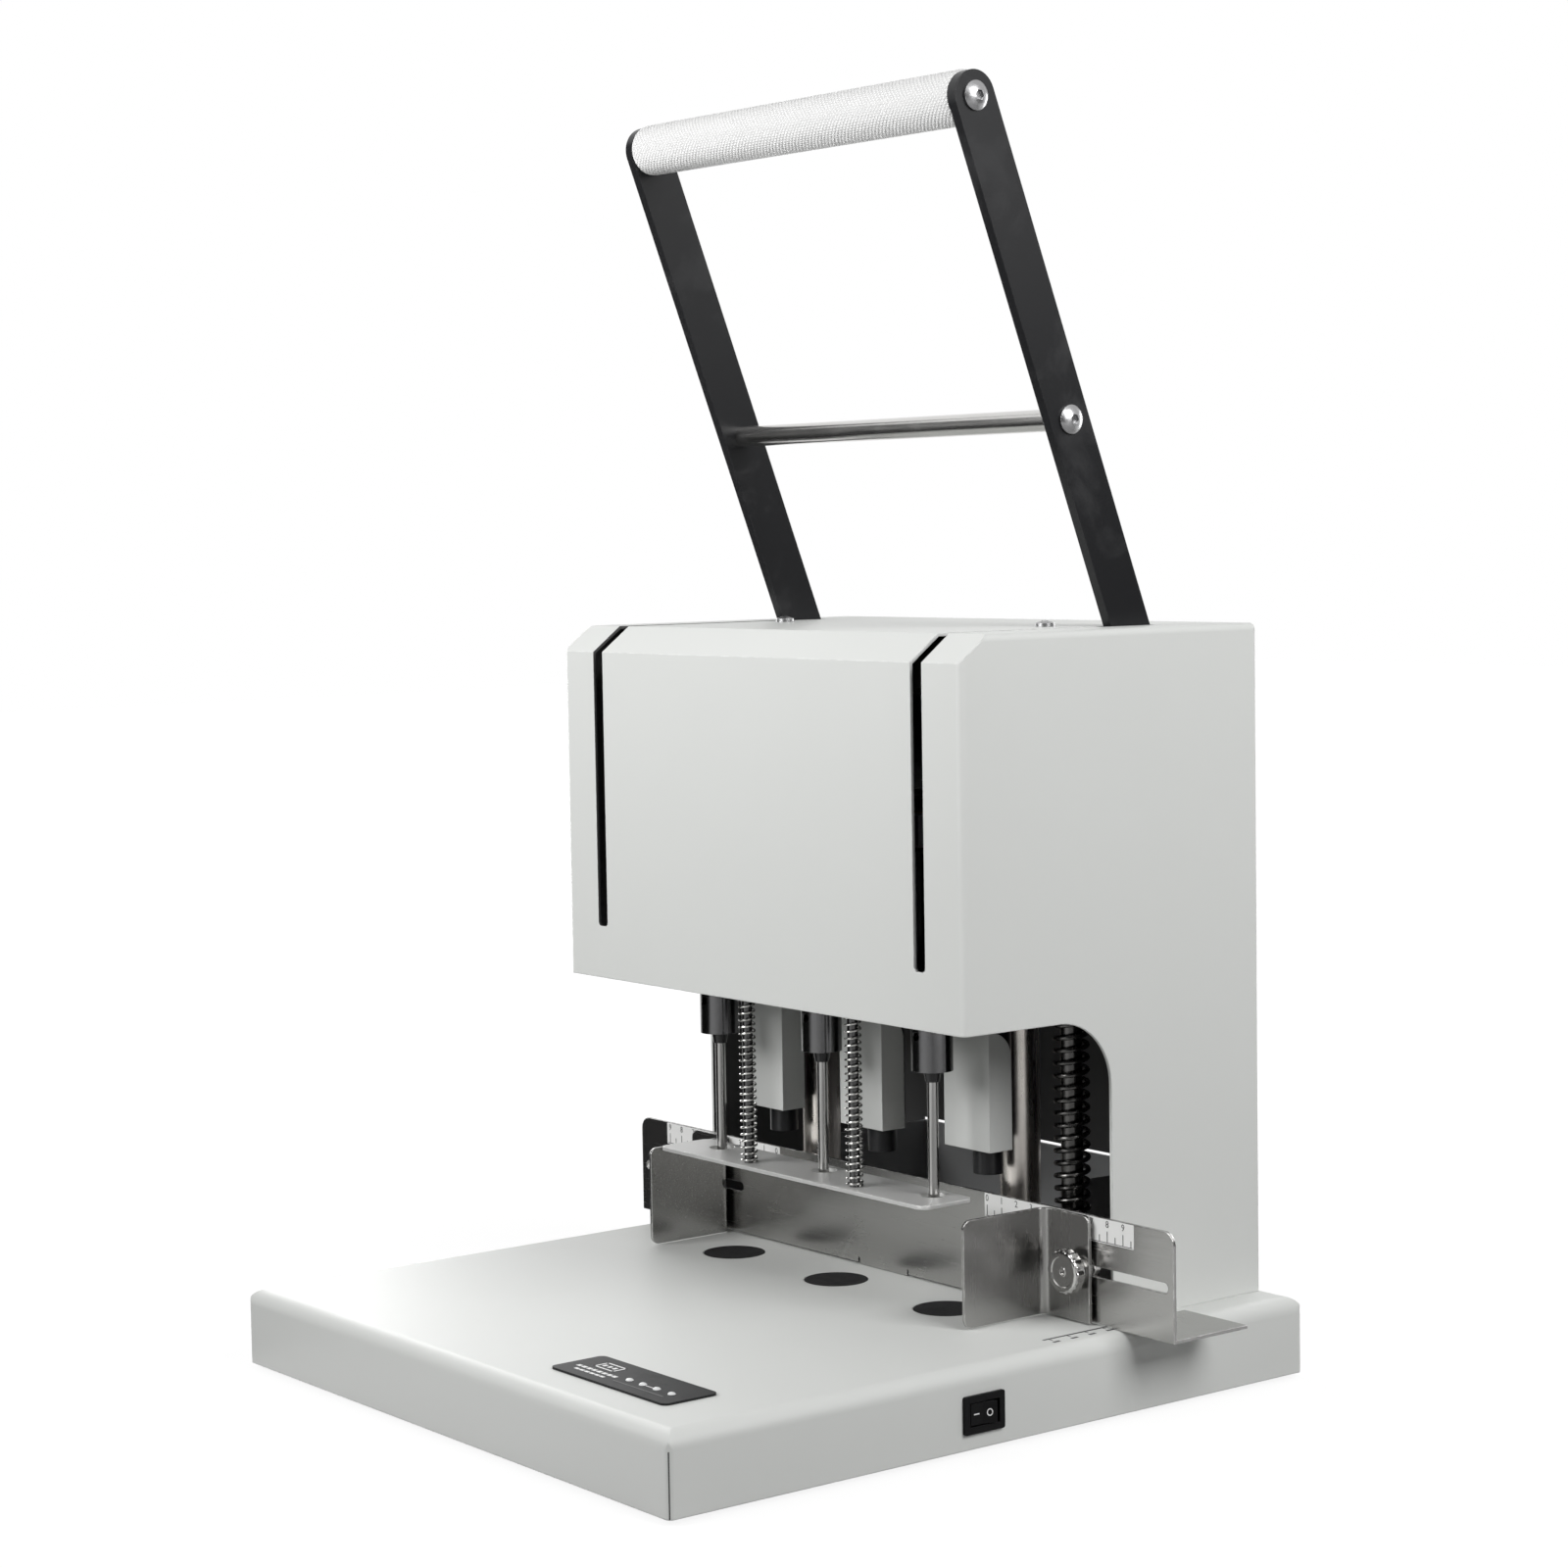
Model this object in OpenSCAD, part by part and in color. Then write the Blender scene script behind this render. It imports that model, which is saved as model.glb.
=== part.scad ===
// Three-hole bench paper drill: sheet-metal base and head, pull-down lever,
// rack-driven crosshead with three hollow bits, presser, back fence and side guides.
// X runs to the right, Y to the back and Z up. The origin lies on the floor
// under the middle of the base. Lengths are in millimetres.

/* [Base] */
// Width of the base
base_w = 339; // [320:1:380]
// Depth of the base
base_d = 356; // [340:1:400]
// Height of the base shell
base_h = 35; // [30:0.5:50]
// Rounding of the upper edges of the base
base_edge_r = 7; // [3:0.5:12]
// Rounding of the upright corners of the base
base_corner_r = 2.5; // [2.5:0.5:8]
// Thickness of the folded sheet of base and head
sheet_t = 1.5; // [1:0.1:2]
// Thickness of the bottom plate
bottom_t = 2.5; // [2:0.5:4]
// Height of the rubber feet
foot_h = 2.5; // [2:0.5:6]
// Radius of a rubber foot
foot_r = 11; // [8:0.5:16]
// Distance of a foot's centre from the base edges
foot_inset = 28; // [20:1:50]

/* [Drills] */
// Distance between neighbouring drill axes
hole_pitch = 80; // [76:0.5:84]
// Distance of the drill row before the rear edge of the base
row_y = 143; // [140:0.5:148]
// Outer radius of a hollow bit
bit_r = 2.5; // [2:0.1:3.5]
// Wall of a hollow bit
bit_wall = 0.6; // [0.4:0.05:0.9]
// Gap between bit tips and deck with the lever right down
tip_gap = 0.3; // [0.2:0.05:0.6]
// Radius of a chuck
chuck_r = 9.5; // [8:0.25:11]
// Height of a chuck's lower face above the deck
chuck_rise = 109.6; // [106:0.5:114]
// Height of the black nose under a chuck
nose_h = 5.2; // [3:0.2:7]
// Radius of a spindle
spindle_r = 6; // [5:0.25:7]
// Radius of a drill pad
pad_r = 15; // [12:0.5:17]
// Thickness of a drill pad
pad_t = 8; // [5:0.5:12]
// Distance of the pad centres behind the drill axes
pad_offset = 6.4; // [3:0.2:8]

/* [Head] */
// Width of the head cover
head_w = 298; // [292:1:310]
// Distance of the head's face before the drill row
head_front = 40; // [36:0.5:46]
// Depth of the head cover
head_d = 176; // [174:0.5:177]
// Height of the head top above the deck
head_rise = 307; // [304:0.5:320]
// Height of the head's lower edge above the deck
throat_h = 136; // [132:0.5:137]
// Depth of the head's rear legs
leg_d = 91; // [88:0.5:92]
// Rounding where the head turns into the legs
throat_r = 30; // [15:1:40]
// Height of the bevel along the head's front top edge
bevel_h = 12; // [8:0.5:16]
// Depth of the bevel along the head's front top edge
bevel_d = 16; // [10:0.5:20]
// Rounding of the folded corners of the head
fold_r = 3; // [2.5:0.25:5]
// Width of the slots in which the lever arms swing
slot_w = 7.6; // [6.4:0.2:10]
// Height of the slots' lower ends above the deck
slot_rise = 161.4; // [155:0.2:164]

/* [Lever] */
// Distance of the middle of each lever arm from the middle of the machine
arm_x = 120; // [119.5:0.5:124]
// Width of a lever arm
arm_w = 22.5; // [20:0.5:25]
// Thickness of a lever arm
arm_t = 5; // [4:0.5:5.5]
// Lean of the lever arms at rest, in degrees
lever_lean = 21.1; // [18:0.1:24]
// Distance from the lever shaft to the crossbar
crossbar_reach = 170; // [169:0.5:176]
// Distance from the lever shaft to the handle
handle_reach = 317.7; // [280:1:360]
// Distance of the lever shaft behind the drill row
shaft_back = 109.9; // [107:0.1:112]
// Height of the lever shaft above the deck
shaft_rise = 240.4; // [239:0.1:243]
// Radius of the lever shaft
shaft_r = 8; // [6.5:0.25:9]
// Radius of the crossbar
crossbar_r = 5; // [4:0.25:6]
// Radius of the handle's grip
grip_r = 12; // [10:0.5:15]
// Radius of the steel bar in the grip
grip_bar_r = 7; // [5:0.25:8]

/* [Drive] */
// Module of rack and gear teeth
gear_module = 1.5; // [1.4:0.05:1.55]
// Teeth of the full circle that the gear sectors are cut from
gear_teeth = 43; // [41:1:44]
// Teeth on a gear sector
sector_teeth = 14; // [14:1:16]
// Thickness of a gear sector
sector_t = 8; // [6:0.5:12]
// Distance of each gear sector from the middle of the machine
sector_x = 45; // [42:0.5:52]
// Radius of a guide column
column_r = 9.5; // [8:0.25:10]
// Distance of each guide column from the middle of the machine
column_x = 74; // [70:0.5:78]
// Distance of the guide columns behind the drill row
column_back = 57.3; // [57.1:0.1:60]
// Thickness of the crosshead
crosshead_t = 14; // [10:0.5:16]
// Height of the crosshead's underside above the deck
crosshead_rise = 212.5; // [212:0.5:215]
// Thickness of the top plate
top_plate_t = 8; // [5:0.5:9]
// Thickness of the fixed bearing plate
bearing_plate_t = 7; // [5:0.5:8]
// Distance between neighbouring motors
motor_pitch = 76.4; // [75:0.2:78]
// Radius of a motor
motor_r = 11; // [8:0.25:11.25]
// Width of a motor guard
guard_w = 31.4; // [28:0.2:34]
// Depth of a motor guard's side flanges
guard_d = 13.5; // [9:0.5:16]
// Distance of the motor guards behind the drill row
guard_back = 23.1; // [22:0.1:24]
// Height of a guard's lower edge above the deck
guard_rise = 70.4; // [66:0.5:80]
// Belt radius on a drive pulley
drive_pulley_r = 12; // [10:0.5:13]
// Belt radius on a motor pulley
motor_pulley_r = 7; // [5:0.5:8]

/* [Presser] */
// Width of the presser plate
presser_w = 201; // [200:1:210]
// Place of the presser plate's middle along X
presser_x = -3.5; // [-4:0.5:4]
// Distance of the presser plate's front edge before the drill row
presser_front = 20.8; // [19:0.2:24]
// Distance of the presser plate's rear edge behind the drill row
presser_back = 9.5; // [8:0.5:11]
// Thickness of the presser plate
presser_t = 1.8; // [1.5:0.1:2.5]
// Gap between presser plate and deck with the lever right down
presser_gap = 0.3; // [0.2:0.05:0.6]
// Distance of each presser rod from the middle of the machine
presser_rod_x = 40; // [34:0.5:48]
// Distance of the presser rods before the drill row
presser_rod_front = 13.5; // [12.5:0.1:14.5]
// Radius of a presser rod
presser_rod_r = 2.5; // [2:0.1:2.7]
// Outer radius of a presser spring
presser_spring_r = 4.1; // [4:0.05:4.4]
// Wire diameter of a presser spring
presser_wire = 1; // [0.8:0.05:1.1]
// Curls of a presser spring
presser_curls = 27; // [22:1:27]

/* [Return spring] */
// Outer radius of the return spring
return_spring_r = 8.5; // [8:0.1:9]
// Wire diameter of the return spring
return_wire = 1.8; // [1.5:0.1:2.2]
// Curls of the return spring
return_curls = 38; // [30:1:38]
// Distance of the return spring from the middle of the machine
return_x = 109.5; // [107:0.5:110]
// Radius of the rod inside the return spring
return_rod_r = 5; // [4:0.25:5.5]

/* [Fence] */
// Length of the back fence
fence_w = 395; // [380:1:410]
// Height of the back fence
fence_h = 48.5; // [44:0.5:50]
// Thickness of fence and side guides
fence_t = 1.5; // [1.2:0.1:2]
// Distance of the fence's face behind the drill row
fence_back = 35; // [33:0.5:36]
// Rounding of the fence's free corners
fence_r = 6; // [3:0.5:10]
// Depth of the fence's end tabs
tab_d = 43; // [35:1:48]
// Width of the fence's end tabs
tab_w = 39; // [34:1:40]
// Height of the slots in the fence
fence_slot_h = 4.6; // [4.4:0.1:6]
// Height of the middle of the fence's slots above the deck
fence_slot_rise = 24; // [20:0.5:28]
// Place of the right guide's face along X
guide_right_x = 117; // [110:0.5:118]
// Place of the left guide's face along X, counted to the left
guide_left_x = 118.2; // [110:0.1:124]
// Depth of a side guide
guide_d = 49; // [40:1:54]
// Height of a side guide
guide_h = 48; // [42:0.5:49]
// Width of a side guide's flange
flange_w = 30.5; // [29:0.5:38]
// Distance of a guide's knob from its face
knob_reach = 22.5; // [20:0.5:24]
// Radius of a guide's knob
knob_r = 10; // [8:0.25:11]

/* [Controls] */
// Width of the control panel
panel_w = 83.4; // [70:0.2:100]
// Depth of the control panel
panel_d = 27.7; // [24:0.1:32]
// Place of the panel's middle along X
panel_x = 93.3; // [60:0.5:105]
// Distance of the panel's middle behind the front edge of the base
panel_front = 36.9; // [30:0.1:60]
// Thickness of the control panel
panel_t = 1; // [0.6:0.1:1.5]
// Length of the switch's rim
switch_w = 22.4; // [20:0.2:26]
// Height of the switch's rim
switch_h = 16.4; // [15:0.2:18]
// Distance of the switch before the drill row
switch_front = 49.9; // [40:0.5:70]
// Height of the switch's middle above the shell's lower edge
switch_rise = 15.1; // [14:0.1:16]
// Tilt of the rocker to either side, in degrees
rocker_tilt = 9; // [6:0.5:12]

/* [Chip tray] */
// Width of the chip tray
tray_w = 174; // [160:1:180]
// Height of the chip tray
tray_h = 48.9; // [40:0.1:55]
// Depth of the chip tray
tray_d = 66; // [56:1:67]
// Wall of the chip tray
tray_t = 1.2; // [1:0.1:2]

/* [Hidden] */
$fn = 48;

// How far a cut runs past the face that it opens
cut = 1;
// Gap between flat pieces that only meet
seat_gap = 0.1;
// Gap between pieces that pass each other
free_gap = 0.3;
// Radial clearance of a running fit
running_gap = 0.05;

// Heights that everything stands on
shell_z = foot_h;
deck_z = foot_h + base_h;
floor_z = shell_z + bottom_t;
deck_under_z = deck_z - sheet_t;

// Planes of the head
full_turn = 360;
drill_y = base_d / 2 - row_y;
head_y0 = drill_y - head_front;
head_y1 = head_y0 + head_d;
head_top_z = deck_z + head_rise;
throat_z = deck_z + throat_h;
leg_y = head_y1 - leg_d;
head_in_w = head_w - 2 * sheet_t;

hem_d = 12;
foot_flange_w = 16;
foot_flange_inset = 6;
slot_past = 2;
slot_corner_r = 2;

// Lever shaft, gear and stroke
shaft_y = drill_y + shaft_back;
shaft_z = deck_z + shaft_rise;
gear_r = gear_module * gear_teeth / 2;
gear_tip_r = gear_r + gear_module;
dedendum_share = 1.25;
gear_root_r = gear_r - gear_module * dedendum_share;
pressure_angle = 20;
gear_base_r = gear_r * cos(pressure_angle);
tooth_pitch = PI * gear_module;
tooth_play = 0.25;
lever_swing = 90;
stroke = gear_r * lever_swing * PI / 180;
flank_steps = 4;
arm_front_y = shaft_y - (head_top_z - shaft_z) * tan(lever_lean);
slot_top_y = arm_front_y + arm_w / 2 / cos(lever_lean) + slot_past;

// Top plate, which hangs the mechanism under the head's top
top_plate_z1 = head_top_z - sheet_t - seat_gap;
top_plate_z0 = top_plate_z1 - top_plate_t;
top_plate_side_gap = 2.5;
top_plate_half_w = arm_x - arm_t / 2 - top_plate_side_gap;
top_window_half_w = sector_x + sector_t;
top_plate_margin = 14;
column_y = drill_y + column_back;
column_pin_r = 6;

// Crosshead
crosshead_z0 = deck_z + crosshead_rise;
crosshead_z1 = crosshead_z0 + crosshead_t;
crosshead_margin = 18;
crosshead_front = 21;
crosshead_half_w = hole_pitch + crosshead_margin;
crosshead_y0 = drill_y - crosshead_front;
rack_body_t = 12.8;
rack_y1 = shaft_y - gear_r - gear_module * dedendum_share;
rack_y0 = rack_y1 - rack_body_t;
crosshead_y1 = rack_y1;
window_half_w = sector_x - sector_t;
window_front = 15;
window_back = 20;
ear_half_d = 10;
ear_margin = 10.5;
ear_fit = 0.1;
bush_wall = 3.5;
bush_past = 6;
bearing_r = 12;
collar_r = 9;
collar_h = 3.9;
collar_gap = 0.1;
top_nut_h = 6;

// Fixed bearing plate and pulleys
bearing_plate_lift = 2;
bearing_plate_z0 = throat_z + bearing_plate_lift;
bearing_plate_z1 = bearing_plate_z0 + bearing_plate_t;
bearing_plate_margin = 24;
bearing_plate_y0 = drill_y - bearing_plate_margin;
bearing_plate_wall = 7;
bearing_plate_y1 = column_y + column_r + bearing_plate_wall;
column_boss_wall = 2.5;
column_boss_h = 5;
pulley_gap = 1.5;
pulley_z0 = bearing_plate_z1 + pulley_gap;
pulley_h = 9.5;
pulley_rim_h = 1.2;
pulley_rim_past = 1.5;
pulley_hub_r = 9;
key_w = 3;
key_depth = 1.2;
key_gap = 0.1;
belt_t = 1.2;
belt_side_gap = 0.5;
belt_gap = 0.1;
belt_steps = 24;

// Motors and their guards
guard_t = 1.2;
guard_y0 = drill_y + guard_back;
motor_gap = 0.4;
motor_y = guard_y0 + guard_t + motor_gap + motor_r;
motor_lift = 2.5;
motor_z0 = deck_z + guard_rise + motor_lift;
boss_r = 6.9;
boss_h = 14.9;
motor_shaft_r = 2;
motor_shaft_depth = 20;
guard_corner_r = 12.5;
guard_flange_rise = 125;
guard_corner_z = deck_z + guard_flange_rise - guard_corner_r;
guard_top_z = bearing_plate_z0 - seat_gap;

// Spindles and bits
chuck_z0 = deck_z + chuck_rise;
chuck_top_gap = 1;
chuck_z1 = bearing_plate_z0 - chuck_top_gap;
nose_z0 = chuck_z0 - nose_h;
nose_top_wall = 1.6;
nose_tip_wall = 0.7;
nose_top_r = bit_r + nose_top_wall;
nose_tip_r = bit_r + nose_tip_wall;
bit_seat_h = 20;
bit_fit = 0.02;
tip_z = deck_z + stroke + tip_gap;
tip_bevel_h = 1.2;
set_screw_r = 2;
set_screw_rise = 16;
spindle_top_z = crosshead_z1 + collar_gap + top_nut_h;

// Presser
presser_z0 = deck_z + stroke + presser_gap;
presser_z1 = presser_z0 + presser_t;
presser_y0 = drill_y - presser_front;
presser_y1 = drill_y + presser_back;
presser_corner_r = 5;
presser_hole_r = 6;
presser_rod_y = drill_y - presser_rod_front;
presser_rod_past = 10;
presser_rod_top_z = crosshead_z1 + presser_rod_past;
presser_nut_r = 5;
presser_nut_h = 4;
sleeve_r = 4.4;
sleeve_drop = 1.5;
sleeve_z0 = bearing_plate_z0 - sleeve_drop;
sleeve_clear = 0.8;

// Return spring and rod
return_y = column_y;
return_top_z = crosshead_z0;
return_rod_z1 = top_plate_z0;

// Shape of a wound tube
curl_rings = 8;
wire_sides = 6;

// Anvil bar under the pads
pad_y = drill_y + pad_offset;
anvil_wall = 7;
anvil_half_w = hole_pitch + pad_r + anvil_wall;
anvil_y0 = pad_y - pad_r - anvil_wall;
anvil_y1 = pad_y + pad_r + anvil_wall;
pad_play = 0.1;

// Fence
fence_y0 = drill_y + fence_back;
fence_y1 = fence_y0 + fence_t;
fence_lift = 0.2;
fence_z0 = deck_z + fence_lift;
fence_slot_z = deck_z + fence_slot_rise;
fence_slot_end = 3.5;
fence_slot_inner_x = 110;
fence_foot_gap = 0.8;
centre_tab_half_w = 17.5;
centre_tab_d = 29;
notch_w = 1.6;
notch_h = 3.2;
fence_travel = 18;
clamp_front = 6;
clamp_y = fence_y1 + clamp_front;
clamp_r = 2.5;
clamp_fit = 0.3;

// Side guides
spacer_t = 1.7;
spacer_r = 6.5;
guide_flange_y1 = fence_y0 - spacer_t;
guide_flange_y0 = guide_flange_y1 - fence_t;
guide_y0 = guide_flange_y1 - guide_d;
guide_lift = 0.8;
guide_z0 = deck_z + guide_lift;
guide_r = 4;
guide_bend_r = 4;
knob_screw_r = 2;
knob_screw_fit = 0.25;
knob_t = 5.5;
knob_hub_r = 5.5;
knob_hub_t = 3.3;
knob_y1 = guide_flange_y0 - seat_gap;
knob_y0 = knob_y1 - knob_hub_t - knob_t;
guide_nut_r = 7;
guide_nut_t = 3.5;
tongue_w = 10;
tongue_fit = 0.3;
knob_flutes = 18;
flute_r = 1;

// Controls
panel_y = panel_front - base_d / 2;
lamp_x_shares = [0.01, 0.125, 0.243, 0.37];
lamp_y_share = -0.08;
lamp_r = 1.3;
lamp_past = 0.5;
lamp_fit = 0.1;
board_drop = 9;
board_t = 1.6;
board_margin = 5;
standoff_r = 2.5;
standoff_inset = 5;
panel_window_margin = 3;
switch_y = drill_y - switch_front;
switch_z = shell_z + switch_rise;
switch_rim_t = 1.5;
switch_rim_w = 2.6;
switch_body_w = 19;
switch_body_h = 12.8;
switch_body_d = 14;
switch_wall = 1.2;
rocker_back = 4;
rocker_t = 6;
rocker_dip = 1;
rocker_inset = 1.2;
rocker_gap = 0.5;
rocker_pin_r = 1.2;

// Power supply
supply_w = 100;
supply_d = 68;
supply_h = 27;
supply_x = -95;
supply_front = 60;
supply_vents = 7;
supply_vent_w = 3;
supply_vent_share = 0.6;

// Mains inlet
inlet_margin = 29.5;
inlet_above = 23.7;
inlet_x = head_in_w / 2 - inlet_margin;
inlet_w = 30.5;
inlet_h = 22.6;
inlet_flange_t = 2;
inlet_body_w = 27;
inlet_body_h = 19.4;
inlet_body_d = 22;
inlet_mouth_w = 24;
inlet_mouth_h = 16.4;
inlet_mouth_d = 17;
inlet_pin_w = 2;
inlet_pin_h = 4;
inlet_pin_d = 15;
inlet_pin_pitch = 7;

// Chip tray
tray_y1 = head_y1;
tray_y0 = tray_y1 - tray_d;
tray_lift = 0.4;
tray_z0 = deck_z + tray_lift;
tray_side_gap = 1;
tray_slit = 1.5;
inlet_z = tray_z0 + tray_h + tray_slit + inlet_above;
tray_front_h = 34;
pull_w = 50;
pull_d = 5;
pull_t = 1.5;

// Rear cover
rear_side_gap = 0.2;
rear_z0 = deck_z + free_gap;
rear_z1 = head_top_z - sheet_t - free_gap;

// Screws
screw_head_r = 4.4;
screw_head_h = 2.8;
screw_shank_r = 2.5;
cover_screw_x = 96;
cover_screw_back = 56.4;
button_head_r = 6.5;
button_head_h = 3.6;
button_shank_r = 3;
button_shank_len = 18;
button_socket_r = 2.3;
button_socket_h = 2;
screw_fit = 0.1;

// Shaft blocks
block_t = 12;
block_x = 104;
block_half_d = 18;
block_below = 16;
shaft_end = 4;
shaft_collar_r = 13;
shaft_collar_t = 4;
sector_hub_r = 14;

// Holes in the deck
wire_hole_r = 8;
wire_hole_back = 115;

// Sides in the order left, middle, right
left = -1;
middle = 0;
right = 1;

// Rounded rectangle about the origin
module rounded_rect(w, h, r) {
  square([w - 2 * r, h], center = true);
  square([w, h - 2 * r], center = true);
  for (sx = [-1, 1], sy = [-1, 1])
    translate([sx * (w / 2 - r), sy * (h / 2 - r)])
      circle(r);
}

// Rectangle on the X axis whose two upper corners are rounded
module dome_rect(w, h, r) {
  translate([-w / 2, 0])
    square([w, h - r]);
  translate([-w / 2 + r, 0])
    square([w - 2 * r, h]);
  for (s = [-1, 1])
    translate([s * (w / 2 - r), h - r])
      circle(r);
}

// Slot of length l and height h about the origin
module slot_shape(l, h) {
  square([l - h, h], center = true);
  for (s = [-1, 1])
    translate([s * (l - h) / 2, 0])
      circle(h / 2);
}

// Extrude a shape drawn in X and Z along Y, from y0 to y1
module along_y(y0, y1) {
  translate([0, y1, 0])
    rotate([90, 0, 0])
      linear_extrude(y1 - y0)
        children();
}

// Extrude a shape drawn in Y and Z along X, from x0 to x1
module along_x(x0, x1) {
  translate([x0, 0, 0])
    rotate([90, 0, 90])
      linear_extrude(x1 - x0)
        children();
}

// Upright round bar from z0 to z1 at a place
module post(x, y, z0, z1, r) {
  translate([x, y, z0])
    cylinder(h = z1 - z0, r = r);
}

// Box between two corners
module box(a, b) {
  translate(a)
    cube(b - a);
}

// Block whose upper edges and upright corners are rounded, its foot at z = 0
module base_block(w, d, h, edge_r, corner_r) {
  intersection() {
    linear_extrude(h)
      rounded_rect(w, d, corner_r);
    along_y(-d / 2, d / 2)
      dome_rect(w, h, edge_r);
    along_x(-w / 2, w / 2)
      dome_rect(d, h, edge_r);
  }
}

module base_shell() {
  color("#cfd0cd")
    difference() {
      translate([0, 0, shell_z])
        base_block(base_w, base_d, base_h, base_edge_r, base_corner_r);
      translate([0, 0, shell_z - cut])
        base_block(base_w - 2 * sheet_t, base_d - 2 * sheet_t, base_h - sheet_t + cut,
          base_edge_r - sheet_t, base_corner_r - sheet_t);
      for (k = [left, middle, right])
        post(k * hole_pitch, pad_y, deck_under_z - cut, deck_z + cut, pad_r + free_gap);
      for (s = [left, right])
        post(s * column_x, column_y, deck_under_z - cut, deck_z + cut, column_r + free_gap);
      translate([panel_x, panel_y, deck_under_z - cut])
        linear_extrude(sheet_t + 2 * cut)
          square([panel_w - 2 * panel_window_margin, panel_d - 2 * panel_window_margin],
            center = true);
      box([base_w / 2 - sheet_t - cut, switch_y - switch_body_w / 2 - free_gap,
          switch_z - switch_body_h / 2 - free_gap],
        [base_w / 2 + cut, switch_y + switch_body_w / 2 + free_gap,
          switch_z + switch_body_h / 2 + free_gap]);
      post(inlet_x, drill_y + wire_hole_back, deck_under_z - cut, deck_z + cut, wire_hole_r);
      post(0, clamp_y, deck_under_z - cut, deck_z + cut, clamp_r + screw_fit);
    }
}

module bottom_plate() {
  color("#8d9094")
    difference() {
      translate([0, 0, shell_z])
        linear_extrude(bottom_t)
          rounded_rect(base_w - 2 * sheet_t - 2 * free_gap, base_d - 2 * sheet_t - 2 * free_gap,
            base_corner_r - sheet_t);
      for (s = [left, right])
        post(s * column_x, column_y, shell_z - cut, floor_z + cut, screw_shank_r);
    }
}

module rubber_feet() {
  color("#222222")
    for (sx = [-1, 1], sy = [-1, 1])
      post(sx * (base_w / 2 - foot_inset), sy * (base_d / 2 - foot_inset), 0, shell_z, foot_r);
}

module anvil_bar() {
  color("#5b5e62")
    difference() {
      box([-anvil_half_w, anvil_y0, floor_z], [anvil_half_w, anvil_y1, deck_under_z]);
      for (k = [left, middle, right])
        post(k * hole_pitch, pad_y, deck_z - pad_t, deck_under_z + cut, pad_r + pad_play);
    }
}

module drill_pad(k) {
  color("#1c1c1d")
    post(k * hole_pitch, pad_y, deck_z - pad_t + seat_gap, deck_z, pad_r);
}

module pad_left() {
  drill_pad(left);
}

module pad_middle() {
  drill_pad(middle);
}

module pad_right() {
  drill_pad(right);
}

// Centre of lamp i on the panel
function lamp_at(i) = [panel_x + lamp_x_shares[i] * panel_w, panel_y + lamp_y_share * panel_d];

module control_panel() {
  color("#3b3d3f")
    difference() {
      translate([panel_x, panel_y, deck_z])
        linear_extrude(panel_t)
          rounded_rect(panel_w, panel_d, panel_window_margin);
      for (i = [0 : len(lamp_x_shares) - 1])
        post(lamp_at(i)[0], lamp_at(i)[1], deck_z - cut, deck_z + panel_t + cut, lamp_r + lamp_fit);
    }
}

module control_board() {
  board_z = deck_z - board_drop;
  half_w = panel_w / 2 + standoff_inset;
  half_d = panel_d / 2 + standoff_inset;
  color("#2f5b3a") {
    translate([panel_x, panel_y, board_z])
      linear_extrude(board_t)
        square([2 * half_w, 2 * half_d], center = true);
    for (sx = [-1, 1], sy = [-1, 1])
      post(panel_x + sx * (half_w - standoff_r), panel_y + sy * (half_d - standoff_r),
        board_z + board_t, deck_under_z, standoff_r);
    for (i = [0 : len(lamp_x_shares) - 1])
      post(lamp_at(i)[0], lamp_at(i)[1], board_z + board_t, deck_z + panel_t + lamp_past, lamp_r);
  }
}

module power_supply() {
  y0 = drill_y - supply_front - supply_d / 2;
  color("#a8aaad")
    difference() {
      box([supply_x - supply_w / 2, y0, floor_z],
        [supply_x + supply_w / 2, y0 + supply_d, floor_z + supply_h]);
      box([supply_x - supply_w / 2 + switch_wall, y0 + switch_wall, floor_z + switch_wall],
        [supply_x + supply_w / 2 - switch_wall, y0 + supply_d - switch_wall,
          floor_z + supply_h - switch_wall]);
      for (i = [1 : supply_vents])
        translate([supply_x - supply_w / 2 + i * supply_w / (supply_vents + 1), y0 + supply_d / 2,
            floor_z + supply_h - switch_wall - cut])
          linear_extrude(switch_wall + 2 * cut)
            square([supply_vent_w, supply_d * supply_vent_share], center = true);
    }
}

module switch_frame() {
  x1 = base_w / 2 + switch_rim_t;
  color("#17181a")
    difference() {
      union() {
        along_x(base_w / 2, x1)
          translate([switch_y, switch_z])
            rounded_rect(switch_w, switch_h, panel_t);
        box([base_w / 2 - switch_body_d, switch_y - switch_body_w / 2, switch_z - switch_body_h / 2],
          [base_w / 2, switch_y + switch_body_w / 2, switch_z + switch_body_h / 2]);
      }
      box([base_w / 2 - switch_body_d + switch_wall, switch_y - switch_body_w / 2 + switch_wall,
          switch_z - switch_body_h / 2 + switch_wall],
        [x1 + cut, switch_y + switch_body_w / 2 - switch_wall,
          switch_z + switch_body_h / 2 - switch_wall]);
      post(base_w / 2 - rocker_back, switch_y, switch_z - switch_body_h / 2 - cut,
        switch_z + switch_body_h / 2 + cut, rocker_pin_r + running_gap);
    }
}

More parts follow.
